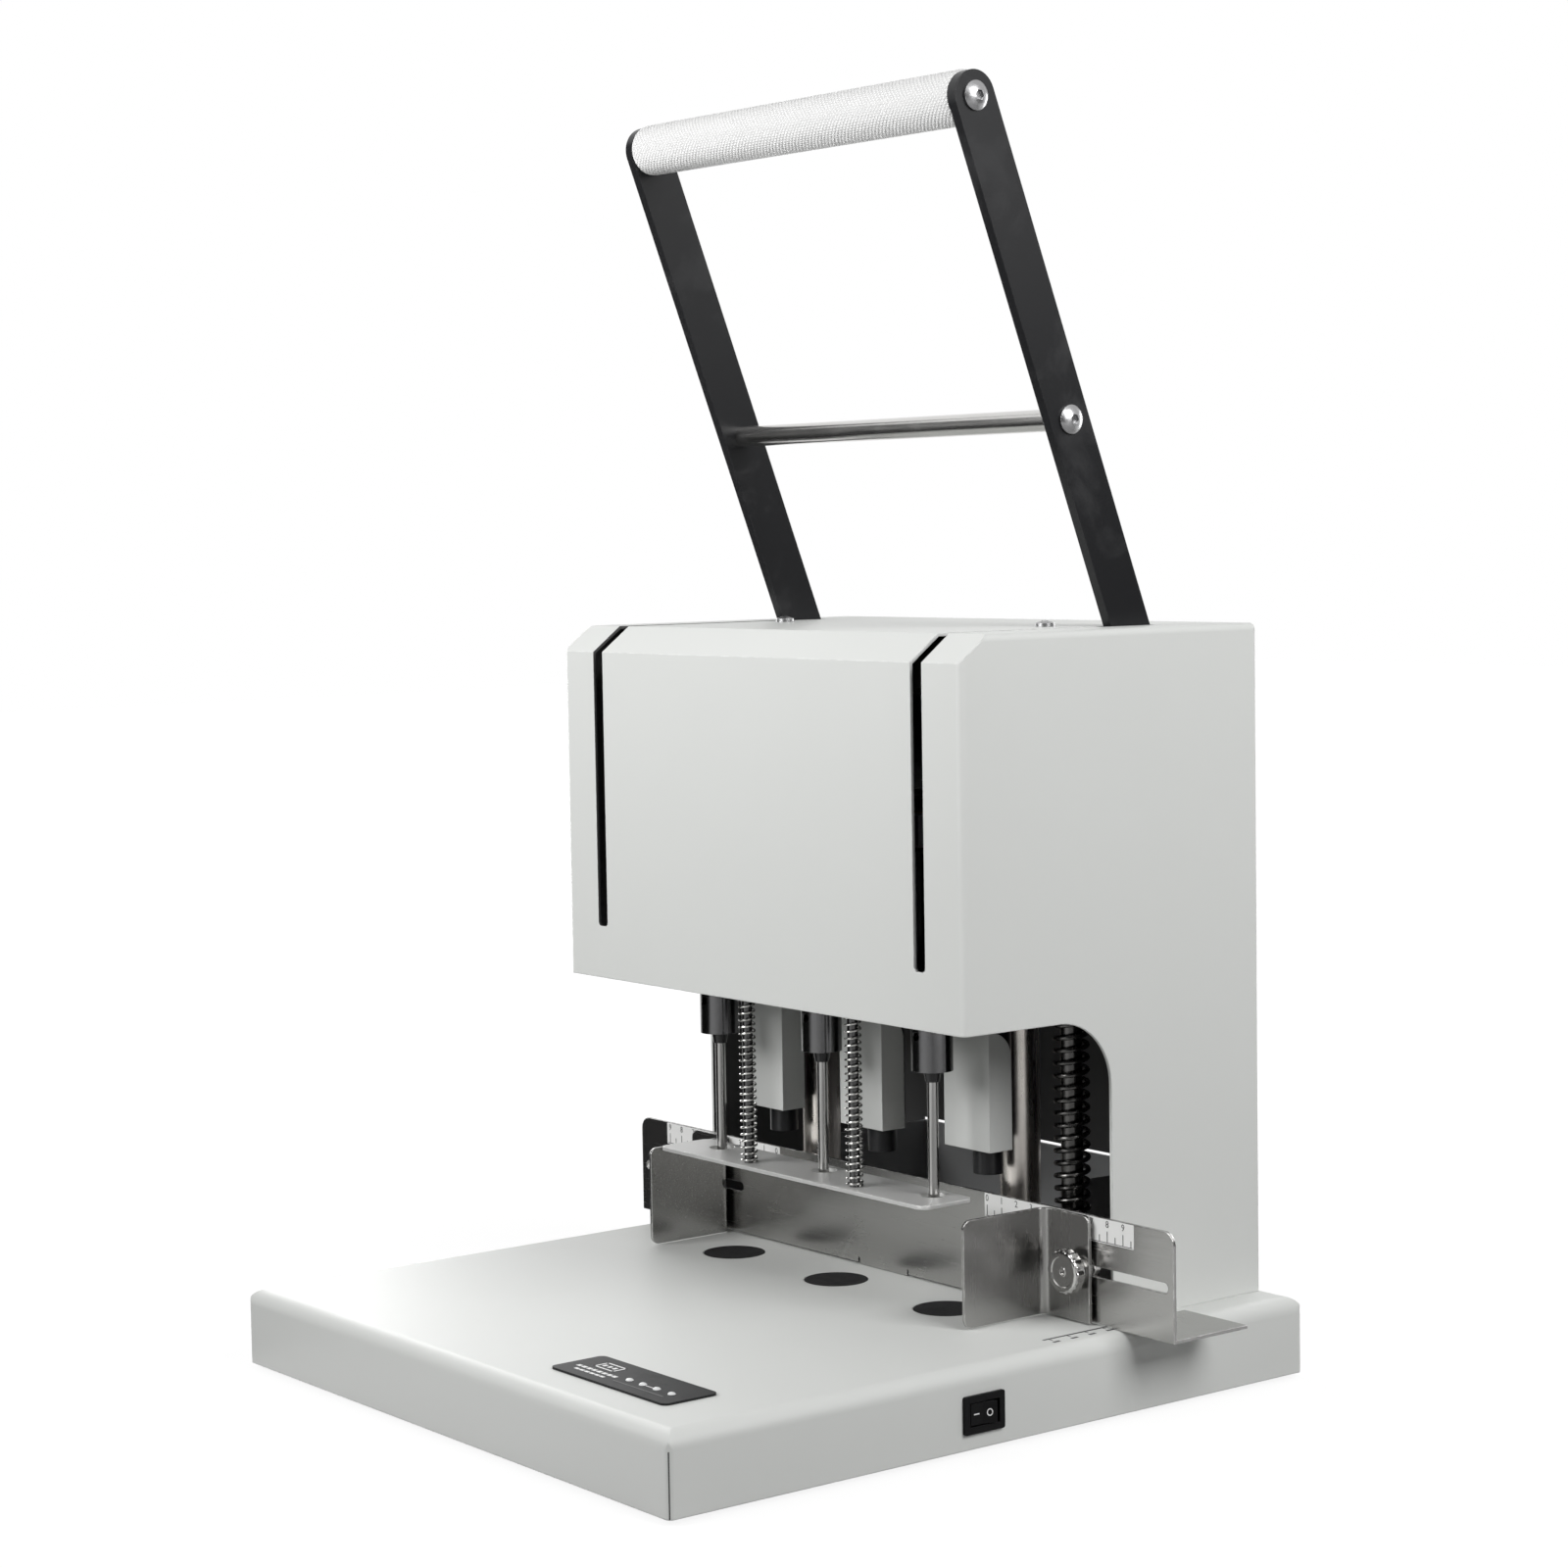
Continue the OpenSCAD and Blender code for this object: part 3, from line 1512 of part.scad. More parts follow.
module fence() {
  half_w = fence_w / 2;
  slot_x1 = half_w - fence_slot_end;
  color("#9b9c9b") {
    difference() {
      union() {
        along_y(fence_y0, fence_y1)
          translate([0, fence_z0])
            dome_rect(fence_w, fence_h, fence_r);
        for (s = [left, right])
          translate([s * (half_w - tab_w / 2), 0, 0])
            box([-tab_w / 2, fence_y1 - cut, fence_z0], [tab_w / 2, fence_y1 + tab_d, fence_z0 + fence_t]);
        box([-centre_tab_half_w, fence_y1 - cut, fence_z0],
          [centre_tab_half_w, fence_y1 + centre_tab_d, fence_z0 + fence_t]);
      }
      for (s = [left, right]) {
        along_y(fence_y0 - cut, fence_y1 + cut)
          translate([s * (slot_x1 + fence_slot_inner_x) / 2, fence_slot_z])
            slot_shape(slot_x1 - fence_slot_inner_x, fence_slot_h);
        box([s * (centre_tab_half_w + notch_w / 2) - notch_w / 2, fence_y0 - cut, fence_z0 - cut],
          [s * (centre_tab_half_w + notch_w / 2) + notch_w / 2, fence_y1 + cut, fence_z0 + notch_h]);
        scale([s, 1, 1])
          box([centre_tab_half_w, fence_y0 - cut, fence_z0 - cut],
            [half_w - tab_w, fence_y1 + cut, fence_z0 + fence_foot_gap]);
      }
      translate([0, clamp_y + fence_travel / 2, fence_z0 - cut])
        rotate([0, 0, 90])
          linear_extrude(fence_t + 2 * cut)
            slot_shape(fence_travel + 2 * clamp_r + 2 * clamp_fit, 2 * clamp_r + 2 * clamp_fit);
    }
  }
}

// Place of a guide's knob axis along X
function knob_x(s) = s * ((s > 0 ? guide_right_x : guide_left_x) + knob_reach);

module side_guide(s) {
  face_x = s > 0 ? guide_right_x : guide_left_x;
  color("#a2a3a2")
    difference() {
      union() {
        scale([s, 1, 1])
          intersection() {
            translate([face_x, guide_flange_y1, guide_z0])
              linear_extrude(guide_h)
                guide_plan();
            along_x(face_x - cut, face_x + flange_w + cut)
              translate([guide_flange_y1, guide_z0])
                rotate([0, 0, 90])
                  guide_side_shape();
            along_y(guide_y0 - cut, guide_flange_y1 + cut)
              translate([face_x, guide_z0])
                guide_flange_shape();
          }
        along_y(guide_flange_y1, fence_y0 - seat_gap)
          translate([knob_x(s), fence_slot_z])
            circle(spacer_r);
        along_y(fence_y0 - seat_gap, fence_y1 + seat_gap)
          translate([knob_x(s), fence_slot_z])
            square([tongue_w, fence_slot_h - 2 * tongue_fit], center = true);
        along_y(fence_y1 + seat_gap, fence_y1 + seat_gap + guide_nut_t)
          translate([knob_x(s), fence_slot_z])
            circle(guide_nut_r, $fn = 6);
      }
      along_y(guide_flange_y0 - cut, fence_y1 + guide_nut_t + cut)
        translate([knob_x(s), fence_slot_z])
          circle(knob_screw_r + knob_screw_fit);
    }
}

// Plan of a guide's folded sheet, its outer corner at the origin
module guide_plan() {
  bend = guide_bend_r + fence_t;
  translate([0, -guide_d])
    square([fence_t, guide_d - bend]);
  translate([bend, -fence_t])
    square([flange_w - bend, fence_t]);
  translate([bend, -bend])
    intersection() {
      difference() {
        circle(bend);
        circle(guide_bend_r);
      }
      translate([-bend, 0])
        square([bend, bend]);
    }
}

// Outline of a guide seen from the side, drawn with X up and Y to the front
module guide_side_shape() {
  square([guide_h, guide_d - guide_r]);
  translate([guide_r, 0])
    square([guide_h - 2 * guide_r, guide_d]);
  for (x = [guide_r, guide_h - guide_r])
    translate([x, guide_d - guide_r])
      circle(guide_r);
}

// Outline of a guide seen from the front, its free upper corner rounded
module guide_flange_shape() {
  square([flange_w, guide_h - guide_r]);
  square([flange_w - guide_r, guide_h]);
  translate([flange_w - guide_r, guide_h - guide_r])
    circle(guide_r);
}

module guide_left() {
  side_guide(left);
}

module guide_right() {
  side_guide(right);
}

module guide_knob(s) {
  color("#c3c6c8")
    translate([knob_x(s), 0, fence_slot_z])
      union() {
        along_y(knob_y0, knob_y0 + knob_t)
          difference() {
            circle(knob_r);
            for (i = [0 : knob_flutes - 1])
              rotate(i * full_turn / knob_flutes)
                translate([knob_r + flute_r / 2, 0])
                  circle(flute_r);
          }
        along_y(knob_y0 + knob_t, knob_y1)
          circle(knob_hub_r);
        along_y(knob_y0, fence_y1 + guide_nut_t + seat_gap)
          circle(knob_screw_r);
      }
}

module knob_left() {
  guide_knob(left);
}

module knob_right() {
  guide_knob(right);
}

module chip_tray() {
  half_w = tray_w / 2;
  z1 = tray_z0 + tray_h;
  color("#b9bab8") {
    difference() {
      box([-half_w, tray_y0, tray_z0], [half_w, tray_y1, z1]);
      box([-half_w + tray_t, tray_y0 + tray_t, tray_z0 + tray_t],
        [half_w - tray_t, tray_y1 - sheet_t, z1 + cut]);
      box([-half_w - cut, tray_y0 - cut, tray_z0 + tray_front_h],
        [half_w + cut, tray_y0 + tray_t, z1 + cut]);
    }
    box([-pull_w / 2, tray_y1, z1 - tray_h / 2 - pull_t],
      [pull_w / 2, tray_y1 + pull_d, z1 - tray_h / 2]);
  }
}

base_shell();
bottom_plate();
rubber_feet();
anvil_bar();
control_panel();
control_board();
power_supply();
switch_frame();
rocker();
mains_inlet();
head_cover();
rear_cover();
pan_screws();
column_left();
column_right();
top_plate();
bearing_plate();
shaft_blocks();
motors();
motor_guards();
drive_belts();
return_rod();
pad_left();
pad_middle();
pad_right();
lever_shaft();
gear_sectors();
arm_left();
arm_right();
crossbar();
grip_bar();
grip();
lever_screws();
crosshead();
crosshead_bushes();
racks();
rod_sleeves();
presser_spring_left();
presser_spring_right();
return_spring();
spindle_left();
spindle_middle();
spindle_right();
bit_left();
bit_middle();
bit_right();
drive_pulley_left();
drive_pulley_middle();
drive_pulley_right();
motor_pulley_left();
motor_pulley_middle();
motor_pulley_right();
presser_plate();
presser_rods();
fence();
guide_left();
guide_right();
knob_left();
knob_right();
chip_tray();
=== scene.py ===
import math

import bmesh
import bpy
from bpy.props import FloatProperty, FloatVectorProperty, IntProperty, PointerProperty
from mathutils import Matrix, Vector


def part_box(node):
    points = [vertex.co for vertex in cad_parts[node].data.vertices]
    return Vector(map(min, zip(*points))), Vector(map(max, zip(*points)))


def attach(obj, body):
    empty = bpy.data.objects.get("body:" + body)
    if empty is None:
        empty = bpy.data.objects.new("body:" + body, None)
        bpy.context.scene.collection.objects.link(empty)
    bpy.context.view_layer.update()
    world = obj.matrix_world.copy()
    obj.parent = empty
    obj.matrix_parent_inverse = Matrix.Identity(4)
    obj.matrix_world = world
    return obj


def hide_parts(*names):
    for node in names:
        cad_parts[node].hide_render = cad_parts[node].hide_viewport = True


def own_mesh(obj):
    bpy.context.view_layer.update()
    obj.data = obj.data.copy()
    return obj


bl_info = {
    "name": "Paper Drill Dressing",
    "version": (1, 0, 0),
    "blender": (4, 5, 0),
    "location": "View3D > Sidebar > Paper Drill",
    "description": "Finishes, springs, rules and studio for a three-spindle paper drill",
    "category": "Object",
}

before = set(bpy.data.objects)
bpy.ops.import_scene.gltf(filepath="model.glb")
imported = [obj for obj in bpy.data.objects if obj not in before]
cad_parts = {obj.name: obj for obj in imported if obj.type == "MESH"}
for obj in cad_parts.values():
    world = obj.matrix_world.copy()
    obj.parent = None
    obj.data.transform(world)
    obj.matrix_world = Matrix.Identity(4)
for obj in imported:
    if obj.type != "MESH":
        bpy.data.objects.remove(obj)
MM = 0.001
# Gaps between the nodes of a material, in the editor's units
COLUMN_GAP, ROW_GAP = 220, 260


# ---------------------------------------------------------------- sizes and colours

class DrillFinishes(bpy.types.PropertyGroup):
    """Colours of the machine's finishes."""
    coat: FloatVectorProperty(
        name="Powder coat", description="Light grey coat of base and head",
        default=(0.70, 0.712, 0.694), size=3, subtype="COLOR", min=0, max=1)
    arm: FloatVectorProperty(
        name="Arm coat", description="Black coat of the lever arms",
        default=(0.011, 0.0112, 0.0125), size=3, subtype="COLOR", min=0, max=1)
    grip: FloatVectorProperty(
        name="Grip", description="Pale knurled grip",
        default=(0.95, 0.95, 0.945), size=3, subtype="COLOR", min=0, max=1)
    sheet: FloatVectorProperty(
        name="Sheet steel", description="Bare stainless sheet of fence and guides",
        default=(0.47, 0.465, 0.455), size=3, subtype="COLOR", min=0, max=1)
    steel: FloatVectorProperty(
        name="Bright steel", description="Ground steel of bits and rods",
        default=(0.56, 0.55, 0.53), size=3, subtype="COLOR", min=0, max=1)
    chuck: FloatVectorProperty(
        name="Chuck steel", description="Dark steel of the chucks",
        default=(0.13, 0.13, 0.132), size=3, subtype="COLOR", min=0, max=1)
    spring: FloatVectorProperty(
        name="Oiled spring", description="Dark oiled wire of the return spring",
        default=(0.10, 0.098, 0.095), size=3, subtype="COLOR", min=0, max=1)
    panel: FloatVectorProperty(
        name="Panel foil", description="Dark foil of the control panel",
        default=(0.014, 0.0145, 0.015), size=3, subtype="COLOR", min=0, max=1)


class DrillSizes(bpy.types.PropertyGroup):
    """Sizes of the dressed pieces."""
    knurl_pitch: FloatProperty(
        name="Knurl pitch", description="Distance between neighbouring knurl ridges",
        default=2.4 * MM, unit="LENGTH", min=0.5 * MM, max=4 * MM, precision=4)
    presser_wire: FloatProperty(
        name="Presser wire", description="Wire diameter of a presser spring",
        default=1.15 * MM, unit="LENGTH", min=0.5 * MM, max=1.2 * MM, precision=4)
    presser_curls: IntProperty(
        name="Presser curls", description="Curls of a presser spring",
        default=27, min=10, max=40)
    return_wire: FloatProperty(
        name="Return wire", description="Wire diameter of the return spring",
        default=2.3 * MM, unit="LENGTH", min=1 * MM, max=3 * MM, precision=4)
    return_curls: IntProperty(
        name="Return curls", description="Curls of the return spring",
        default=38, min=10, max=50)
    rule_step: FloatProperty(
        name="Rule step", description="Distance between the rule's short ticks",
        default=5 * MM, unit="LENGTH", min=1 * MM, max=10 * MM, precision=4)
    nose_top: FloatProperty(
        name="Nose top", description="Height above the floor where the black nose meets the chuck",
        default=147.1 * MM, unit="LENGTH", min=100 * MM, max=200 * MM, precision=4)
    seam_inset: FloatProperty(
        name="Corner rounding", description="Rounding of the base's upright corners",
        default=2.5 * MM, unit="LENGTH", min=1 * MM, max=8 * MM, precision=4)
    ink: FloatProperty(
        name="Ink thickness", description="Thickness of a printed mark",
        default=0.06 * MM, unit="LENGTH", min=0.02 * MM, max=0.2 * MM, precision=5)


class DrillStudio(bpy.types.PropertyGroup):
    """Camera and lights."""
    lens: FloatProperty(
        name="Lens", description="Focal length of the camera in millimetres",
        default=77.27, min=20, max=200)
    overhead: FloatProperty(
        name="Overhead light", description="Power of the overhead softbox",
        default=1.0, unit="POWER", min=0, max=500)
    front: FloatProperty(
        name="Front light", description="Power of the front softbox",
        default=15.4, unit="POWER", min=0, max=500)
    side: FloatProperty(
        name="Side light", description="Power of the side softbox",
        default=14.0, unit="POWER", min=0, max=500)
    left: FloatProperty(
        name="Left light", description="Power of the left softbox",
        default=7.0, unit="POWER", min=0, max=500)
    back: FloatProperty(
        name="Back light", description="Power of the softbox behind the machine",
        default=9.0, unit="POWER", min=0, max=500)
    ambient: FloatProperty(
        name="Ambient", description="Strength of the light from all round",
        default=0.06, min=0, max=2)


# ---------------------------------------------------------------- node helpers

def add_node(tree, kind, **values):
    """A node of that kind; its settings and input values are given by name, _ for a space."""
    node = tree.nodes.new("ShaderNode" + kind)
    for key, value in values.items():
        title = key.replace("_", " ")
        if title in node.inputs:
            node.inputs[title].default_value = value
        else:
            setattr(node, key, value)
    return node


def feed(source, node, socket):
    """Link an output socket to that input of the node."""
    node.id_data.links.new(source, node.inputs[socket])


def join(source, output, target, socket):
    feed(source.outputs[output], target, socket)


def maths(tree, operation, a, b=None, clamp=False):
    """A Math node fed by sockets or numbers; returns its output socket."""
    node = add_node(tree, "Math", operation=operation, use_clamp=clamp)
    for i, value in enumerate((a, b)):
        if value is None:
            continue
        if isinstance(value, bpy.types.NodeSocket):
            feed(value, node, i)
        else:
            node.inputs[i].default_value = value
    return node.outputs[0]


def arrange(tree):
    """Set each node one column left of the nodes that it feeds."""
    columns = {}

    def push(node, column):
        if column <= columns.get(node.name, -1):
            return
        columns[node.name] = column
        for socket in node.inputs:
            for link in socket.links:
                push(link.from_node, column + 1)

    for node in tree.nodes:
        push(node, 0)
    heights = {}
    for name, column in columns.items():
        tree.nodes[name].location = (-COLUMN_GAP * column, -heights.get(column, 0))
        heights[column] = heights.get(column, 0) + ROW_GAP


def noise(tree, **values):
    """A noise texture on the object's own coordinates."""
    node = add_node(tree, "TexNoise", **values)
    join(add_node(tree, "TexCoord"), "Object", node, "Vector")
    return node


def object_parts(tree):
    """The X, Y and Z of the object's own coordinates."""
    parts = add_node(tree, "SeparateXYZ")
    join(add_node(tree, "TexCoord"), "Object", parts, "Vector")
    return parts


def new_group(name, inputs, outputs):
    """An empty shader node group and its two end nodes.

    Inputs come with their values, and a tuple makes a vector; so does an output named Normal.
    """
    tree = bpy.data.node_groups.new(name, "ShaderNodeTree")
    for title, value in inputs.items():
        kind = "NodeSocketVector" if isinstance(value, tuple) else "NodeSocketFloat"
        socket = tree.interface.new_socket(name=title, in_out="INPUT", socket_type=kind)
        socket.default_value = value
    for title in outputs:
        kind = "NodeSocketVector" if title == "Normal" else "NodeSocketFloat"
        tree.interface.new_socket(name=title, in_out="OUTPUT", socket_type=kind)
    start = tree.nodes.new("NodeGroupInput")
    end = tree.nodes.new("NodeGroupOutput")
    return tree, start, end


def edge_wear_group():
    """Rounded normal at sharp edges, and a broken mask along them, used for worn edges and a
    painted highlight.
    """
    tree, start, end = new_group(
        "Edge Wear", {"Radius": 0.0006, "Breakup": 140.0}, ["Mask", "Normal"])
    soft = add_node(tree, "Bevel", samples=4)
    join(start, "Radius", soft, "Radius")
    flat = add_node(tree, "NewGeometry")
    dot = add_node(tree, "VectorMath", operation="DOT_PRODUCT")
    join(soft, "Normal", dot, 0)
    join(flat, "Normal", dot, 1)
    bend = maths(tree, "SUBTRACT", 1.0, dot.outputs["Value"])
    sharp = maths(tree, "SUBTRACT", bend, 0.035, clamp=True)
    edge = maths(tree, "MULTIPLY", sharp, 12.0, clamp=True)
    specks = noise(tree, Detail=3.0)
    join(start, "Breakup", specks, "Scale")
    spots = add_node(tree, "MapRange", From_Min=0.35, From_Max=0.65)
    join(specks, "Fac", spots, "Value")
    broken = maths(tree, "MULTIPLY", edge, spots.outputs["Result"])
    feed(broken, end, "Mask")
    join(soft, "Normal", end, "Normal")
    return tree


def orange_peel_group():
    """Fine skin of sprayed or moulded surfaces, and a faint cloudiness."""
    tree, start, end = new_group(
        "Orange Peel", {"Scale": 900.0, "Cloud Scale": 6.0}, ["Height", "Cloud"])
    fine = noise(tree, Detail=2.0, Roughness=0.6)
    cloud = noise(tree, Detail=3.0, Roughness=0.55)
    join(start, "Scale", fine, "Scale")
    join(start, "Cloud Scale", cloud, "Scale")
    join(fine, "Fac", end, "Height")
    join(cloud, "Fac", end, "Cloud")
    return tree


def brushed_grain_group():
    """Long scratches of rolled or ground metal along one direction."""
    tree, start, end = new_group(
        "Brushed Grain", {"Stretch": (30.0, 900.0, 900.0), "Cloud Scale": 18.0},
        ["Height", "Tone", "Cloud"])
    scaled = add_node(tree, "VectorMath", operation="MULTIPLY")
    join(add_node(tree, "TexCoord"), "Object", scaled, 0)
    join(start, "Stretch", scaled, 1)
    lines = add_node(tree, "TexNoise", Scale=1.0, Detail=3.0, Roughness=0.7)
    join(scaled, "Vector", lines, "Vector")
    cloud = noise(tree, Detail=4.0, Roughness=0.6)
    join(start, "Cloud Scale", cloud, "Scale")
    tone = add_node(tree, "MapRange", From_Min=0.3, From_Max=0.7)
    join(lines, "Fac", tone, "Value")
    join(lines, "Fac", end, "Height")
    join(tone, "Result", end, "Tone")
    join(cloud, "Fac", end, "Cloud")
    return tree


def handling_group():
    """Soft smudges and a few small dull spots where hands and chips touch."""
    tree, start, end = new_group("Handling Marks", {"Scale": 30.0, "Share": 0.5}, ["Mask"])
    smear = noise(tree, Detail=6.0, Roughness=0.65, Distortion=0.6)
    join(start, "Scale", smear, "Scale")
    floor_level = maths(tree, "SUBTRACT", 1.0, start.outputs["Share"])
    above = maths(tree, "SUBTRACT", smear.outputs["Fac"], floor_level)
    mask = maths(tree, "MULTIPLY", above, 4.0, clamp=True)
    feed(mask, end, "Mask")
    return tree


def knurl_group():
    """Diamond knurl round the X axis of the object's own coordinates, with a groove mask for
    painted shade.
    """
    tree, start, end = new_group(
        "Knurl", {"Pitch": 0.0019, "Ridges": 40.0}, ["Height", "Valley"])
    parts = object_parts(tree)
    angle = maths(tree, "ARCTAN2", parts.outputs["Z"], parts.outputs["Y"])
    turn = maths(tree, "MULTIPLY", angle, start.outputs["Ridges"])
    along = maths(tree, "DIVIDE", parts.outputs["X"], start.outputs["Pitch"])
    run = maths(tree, "MULTIPLY", along, 2 * math.pi)
    left = maths(tree, "SINE", maths(tree, "ADD", run, turn))
    right = maths(tree, "SINE", maths(tree, "SUBTRACT", run, turn))
    low = maths(tree, "MINIMUM", left, right)
    height = maths(tree, "MULTIPLY", maths(tree, "ADD", low, 1.0), 0.5)
    valley_shade = maths(tree, "SUBTRACT", 1.0, height, clamp=True)
    feed(height, end, "Height")
    feed(valley_shade, end, "Valley")
    return tree


def build_groups():
    """Every shared effect, by name."""
    return {
        "wear_and_highlight": edge_wear_group(),
        "peel": orange_peel_group(),
        "brushed": brushed_grain_group(),
        "handling": handling_group(),
        "knurl": knurl_group(),
    }


GROUPS = {}
FINISHES = {}


def place(tree, key, **values):
    """A shared effect placed in a material with its own values."""
    return add_node(tree, "Group", node_tree=GROUPS[key], **values)


def start_material(name, base, metallic, roughness):
    """A new material with its Principled shader set, ready for its effects."""
    material = bpy.data.materials.new(name)
    material.use_nodes = True
    tree = material.node_tree
    shader = tree.nodes["Principled BSDF"]
    shader.inputs["Base Color"].default_value = (*base, 1.0)
    shader.inputs["Metallic"].default_value = metallic
    shader.inputs["Roughness"].default_value = roughness
    material.diffuse_color = (*base, 1.0)
    return material, tree, shader


def colour_mix(tree, mask, over):
    """A colour mix driven by the mask, with its upper colour set."""
    mix = add_node(tree, "Mix", data_type="RGBA")
    feed(mask, mix, 0)
    mix.inputs[7].default_value = (*over, 1.0)
    return mix


def tint(tree, mask, low, high):
    """A colour that runs from low to high with the mask; returns its output socket."""
    mix = colour_mix(tree, mask, high)
    mix.inputs[6].default_value = (*low, 1.0)
    return mix.outputs[2]


def layer(tree, mask, under, over):
    """A colour socket with a plain colour laid over it where the mask says."""
    mix = colour_mix(tree, mask, over)
    feed(under, mix, 6)
    return mix.outputs[2]


def spread(tree, value, low, high):
    """A number that runs from low to high as value goes from 0 to 1."""
    node = add_node(tree, "MapRange", To_Min=low, To_Max=high)
    feed(value, node, "Value")
    return node.outputs["Result"]


def bump(tree, shader, height, depth, strength=1.0, normal=None):
    """A bump of that depth in metres, feeding the shader's normal."""
    node = add_node(tree, "Bump", Strength=strength, Distance=depth)
    feed(height, node, "Height")
    if normal is not None:
        feed(normal, node, "Normal")
    join(node, "Normal", shader, "Normal")


def shade(colour, factor):
    return tuple(min(1.0, c * factor) for c in colour)


def clouded(tree, shader, cloudiness, wear_and_highlight, base, cloud, edge):
    """Base colour with faint clouds of that strength; edges take the colour scaled by edge, a
    painted highlight broken into specks.
    """
    ground = tint(tree, cloudiness, shade(base, 1 - cloud), shade(base, 1 + cloud))
    feed(layer(tree, wear_and_highlight.outputs["Mask"], ground, shade(base, edge)), shader, "Base Color")


def overlay(material, mask, colour):
    """A plain colour laid over the material's base colour where the mask says."""
    tree = material.node_tree
    shader = tree.nodes["Principled BSDF"]
    under = shader.inputs["Base Color"].links[0].from_socket
    feed(layer(tree, mask, under, colour), shader, "Base Color")


def painted(name, base, rough, peel=900.0, depth=0.00003, edge=1.12, radius=0.0007,
            metallic=0.0, cloud=0.02, smudge=0.03, coat=0.0, gloss=0.5):
    """Sprayed or moulded finish: skin, faint clouds, smudges, softened edges with a painted
    highlight.
    """
    material, tree, shader = start_material(name, base, metallic, rough)
    skin = place(tree, "peel", Scale=peel, Cloud_Scale=7.0)
    wear_and_highlight = place(tree, "wear_and_highlight", Radius=radius, Breakup=160.0)
    marks = place(tree, "handling", Scale=22.0, Share=0.48)
    clouded(tree, shader, skin.outputs["Cloud"], wear_and_highlight, base, cloud, edge)
    feed(spread(tree, marks.outputs["Mask"], rough, min(1.0, rough + smudge)), shader, "Roughness")
    shader.inputs["Specular IOR Level"].default_value = gloss
    shader.inputs["Coat Weight"].default_value = coat
    shader.inputs["Coat Roughness"].default_value = 0.25
    bump(tree, shader, skin.outputs["Height"], depth, 0.6, wear_and_highlight.outputs["Normal"])
    return material


def metal(name, base, rough, stretch, depth=0.000012, edge=1.35, radius=0.0004,
          cloud=0.10, smudge=0.12, metallic=1.0, grain=0.05, share=0.45, marks_scale=45.0,
          rim=0.0):
    """Ground, rolled or turned metal: scratches along one direction, smudges, edges with a painted
    highlight.
    """
    material, tree, shader = start_material(name, base, metallic, rough)
    lines = place(tree, "brushed", Stretch=stretch, Cloud_Scale=26.0)
    wear_and_highlight = place(tree, "wear_and_highlight", Radius=radius, Breakup=220.0)
    marks = place(tree, "handling", Scale=marks_scale, Share=share)
    clouded(tree, shader, lines.outputs["Cloud"], wear_and_highlight, base, cloud, edge)
    base_rough = spread(tree, lines.outputs["Tone"], rough - grain, rough + grain)
    smear = maths(tree, "MULTIPLY", marks.outputs["Mask"], smudge)
    feed(maths(tree, "ADD", base_rough, smear, clamp=True), shader, "Roughness")
    if rim:
        feed(spread(tree, wear_and_highlight.outputs["Mask"], metallic, metallic - rim), shader, "Metallic")
    bump(tree, shader, lines.outputs["Height"], depth, 0.5, wear_and_highlight.outputs["Normal"])
    return material


def knurled_metal(name, base, pitch, ridges):
    """Pale rolled grip: diamond knurl with painted shade in its grooves and a faint painted
    highlight on its ridges.
    """
    material, tree, shader = start_material(name, base, 0.0, 0.48)
    knurl = place(tree, "knurl", Pitch=pitch, Ridges=ridges)
    marks = place(tree, "handling", Scale=30.0, Share=0.5)
    # Painted shade and highlight: grooves darkened to 0.70, ridges lifted to 1.05
    ground = tint(tree, knurl.outputs["Valley"], shade(base, 1.05), shade(base, 0.70))
    feed(ground, shader, "Base Color")
    feed(spread(tree, marks.outputs["Mask"], 0.42, 0.55), shader, "Roughness")
    bump(tree, shader, knurl.outputs["Height"], 0.0004, 1.0)
    return material


def chuck_with_nose(name, base, nose_top):
    """Turned steel above, black-finished nose below the height nose_top."""
    material = metal(name, base, 0.18, (500.0, 500.0, 2200.0), edge=2.2, smudge=0.1)
    tree = material.node_tree
    parts = object_parts(tree)
    nose = maths(tree, "LESS_THAN", parts.outputs["Z"], nose_top)
    overlay(material, nose, (0.012, 0.012, 0.013))
    bare = maths(tree, "SUBTRACT", 1.0, maths(tree, "MULTIPLY", nose, 0.8))
    feed(bare, tree.nodes["Principled BSDF"], "Metallic")
    return material


def coat_dark_inside(name, base, inside_shade, centre):
    """Powder coat outside; the faces that look towards centre carry painted shade, a dark tone for
    the unlit interior.
    """
    material = painted(name, base, 0.44, peel=1000.0, depth=0.00004, edge=1.45, radius=0.0009)
    tree = material.node_tree
    where = add_node(tree, "TexCoord")
    outward = add_node(tree, "VectorMath", operation="SUBTRACT")
    join(where, "Object", outward, 0)
    outward.inputs[1].default_value = centre
    facing = add_node(tree, "VectorMath", operation="DOT_PRODUCT")
    join(outward, "Vector", facing, 0)
    join(where, "Normal", facing, 1)
    # Painted shade: the inward faces take the dark interior colour
    overlay(material, maths(tree, "LESS_THAN", facing.outputs["Value"], 0.0), inside_shade)
    return material


def lamp_lens(name, base):
    """Small unlit lens: faintly cloudy clear plastic."""
    material, tree, shader = start_material(name, base, 0.0, 0.15)
    skin = place(tree, "peel", Scale=1500.0, Cloud_Scale=300.0)
    cloudy = tint(tree, skin.outputs["Cloud"], shade(base, 0.85), shade(base, 1.1))
    feed(cloudy, shader, "Base Color")
    bump(tree, shader, skin.outputs["Height"], 0.00001, 0.4)
    return material


# What the sheet of fence and guides shares, with a strong painted highlight along its edges
SHEET = {"depth": 0.000004, "edge": 2.3, "grain": 0.03, "radius": 0.0008, "share": 0.42,
         "marks_scale": 24.0, "rim": 0.6}
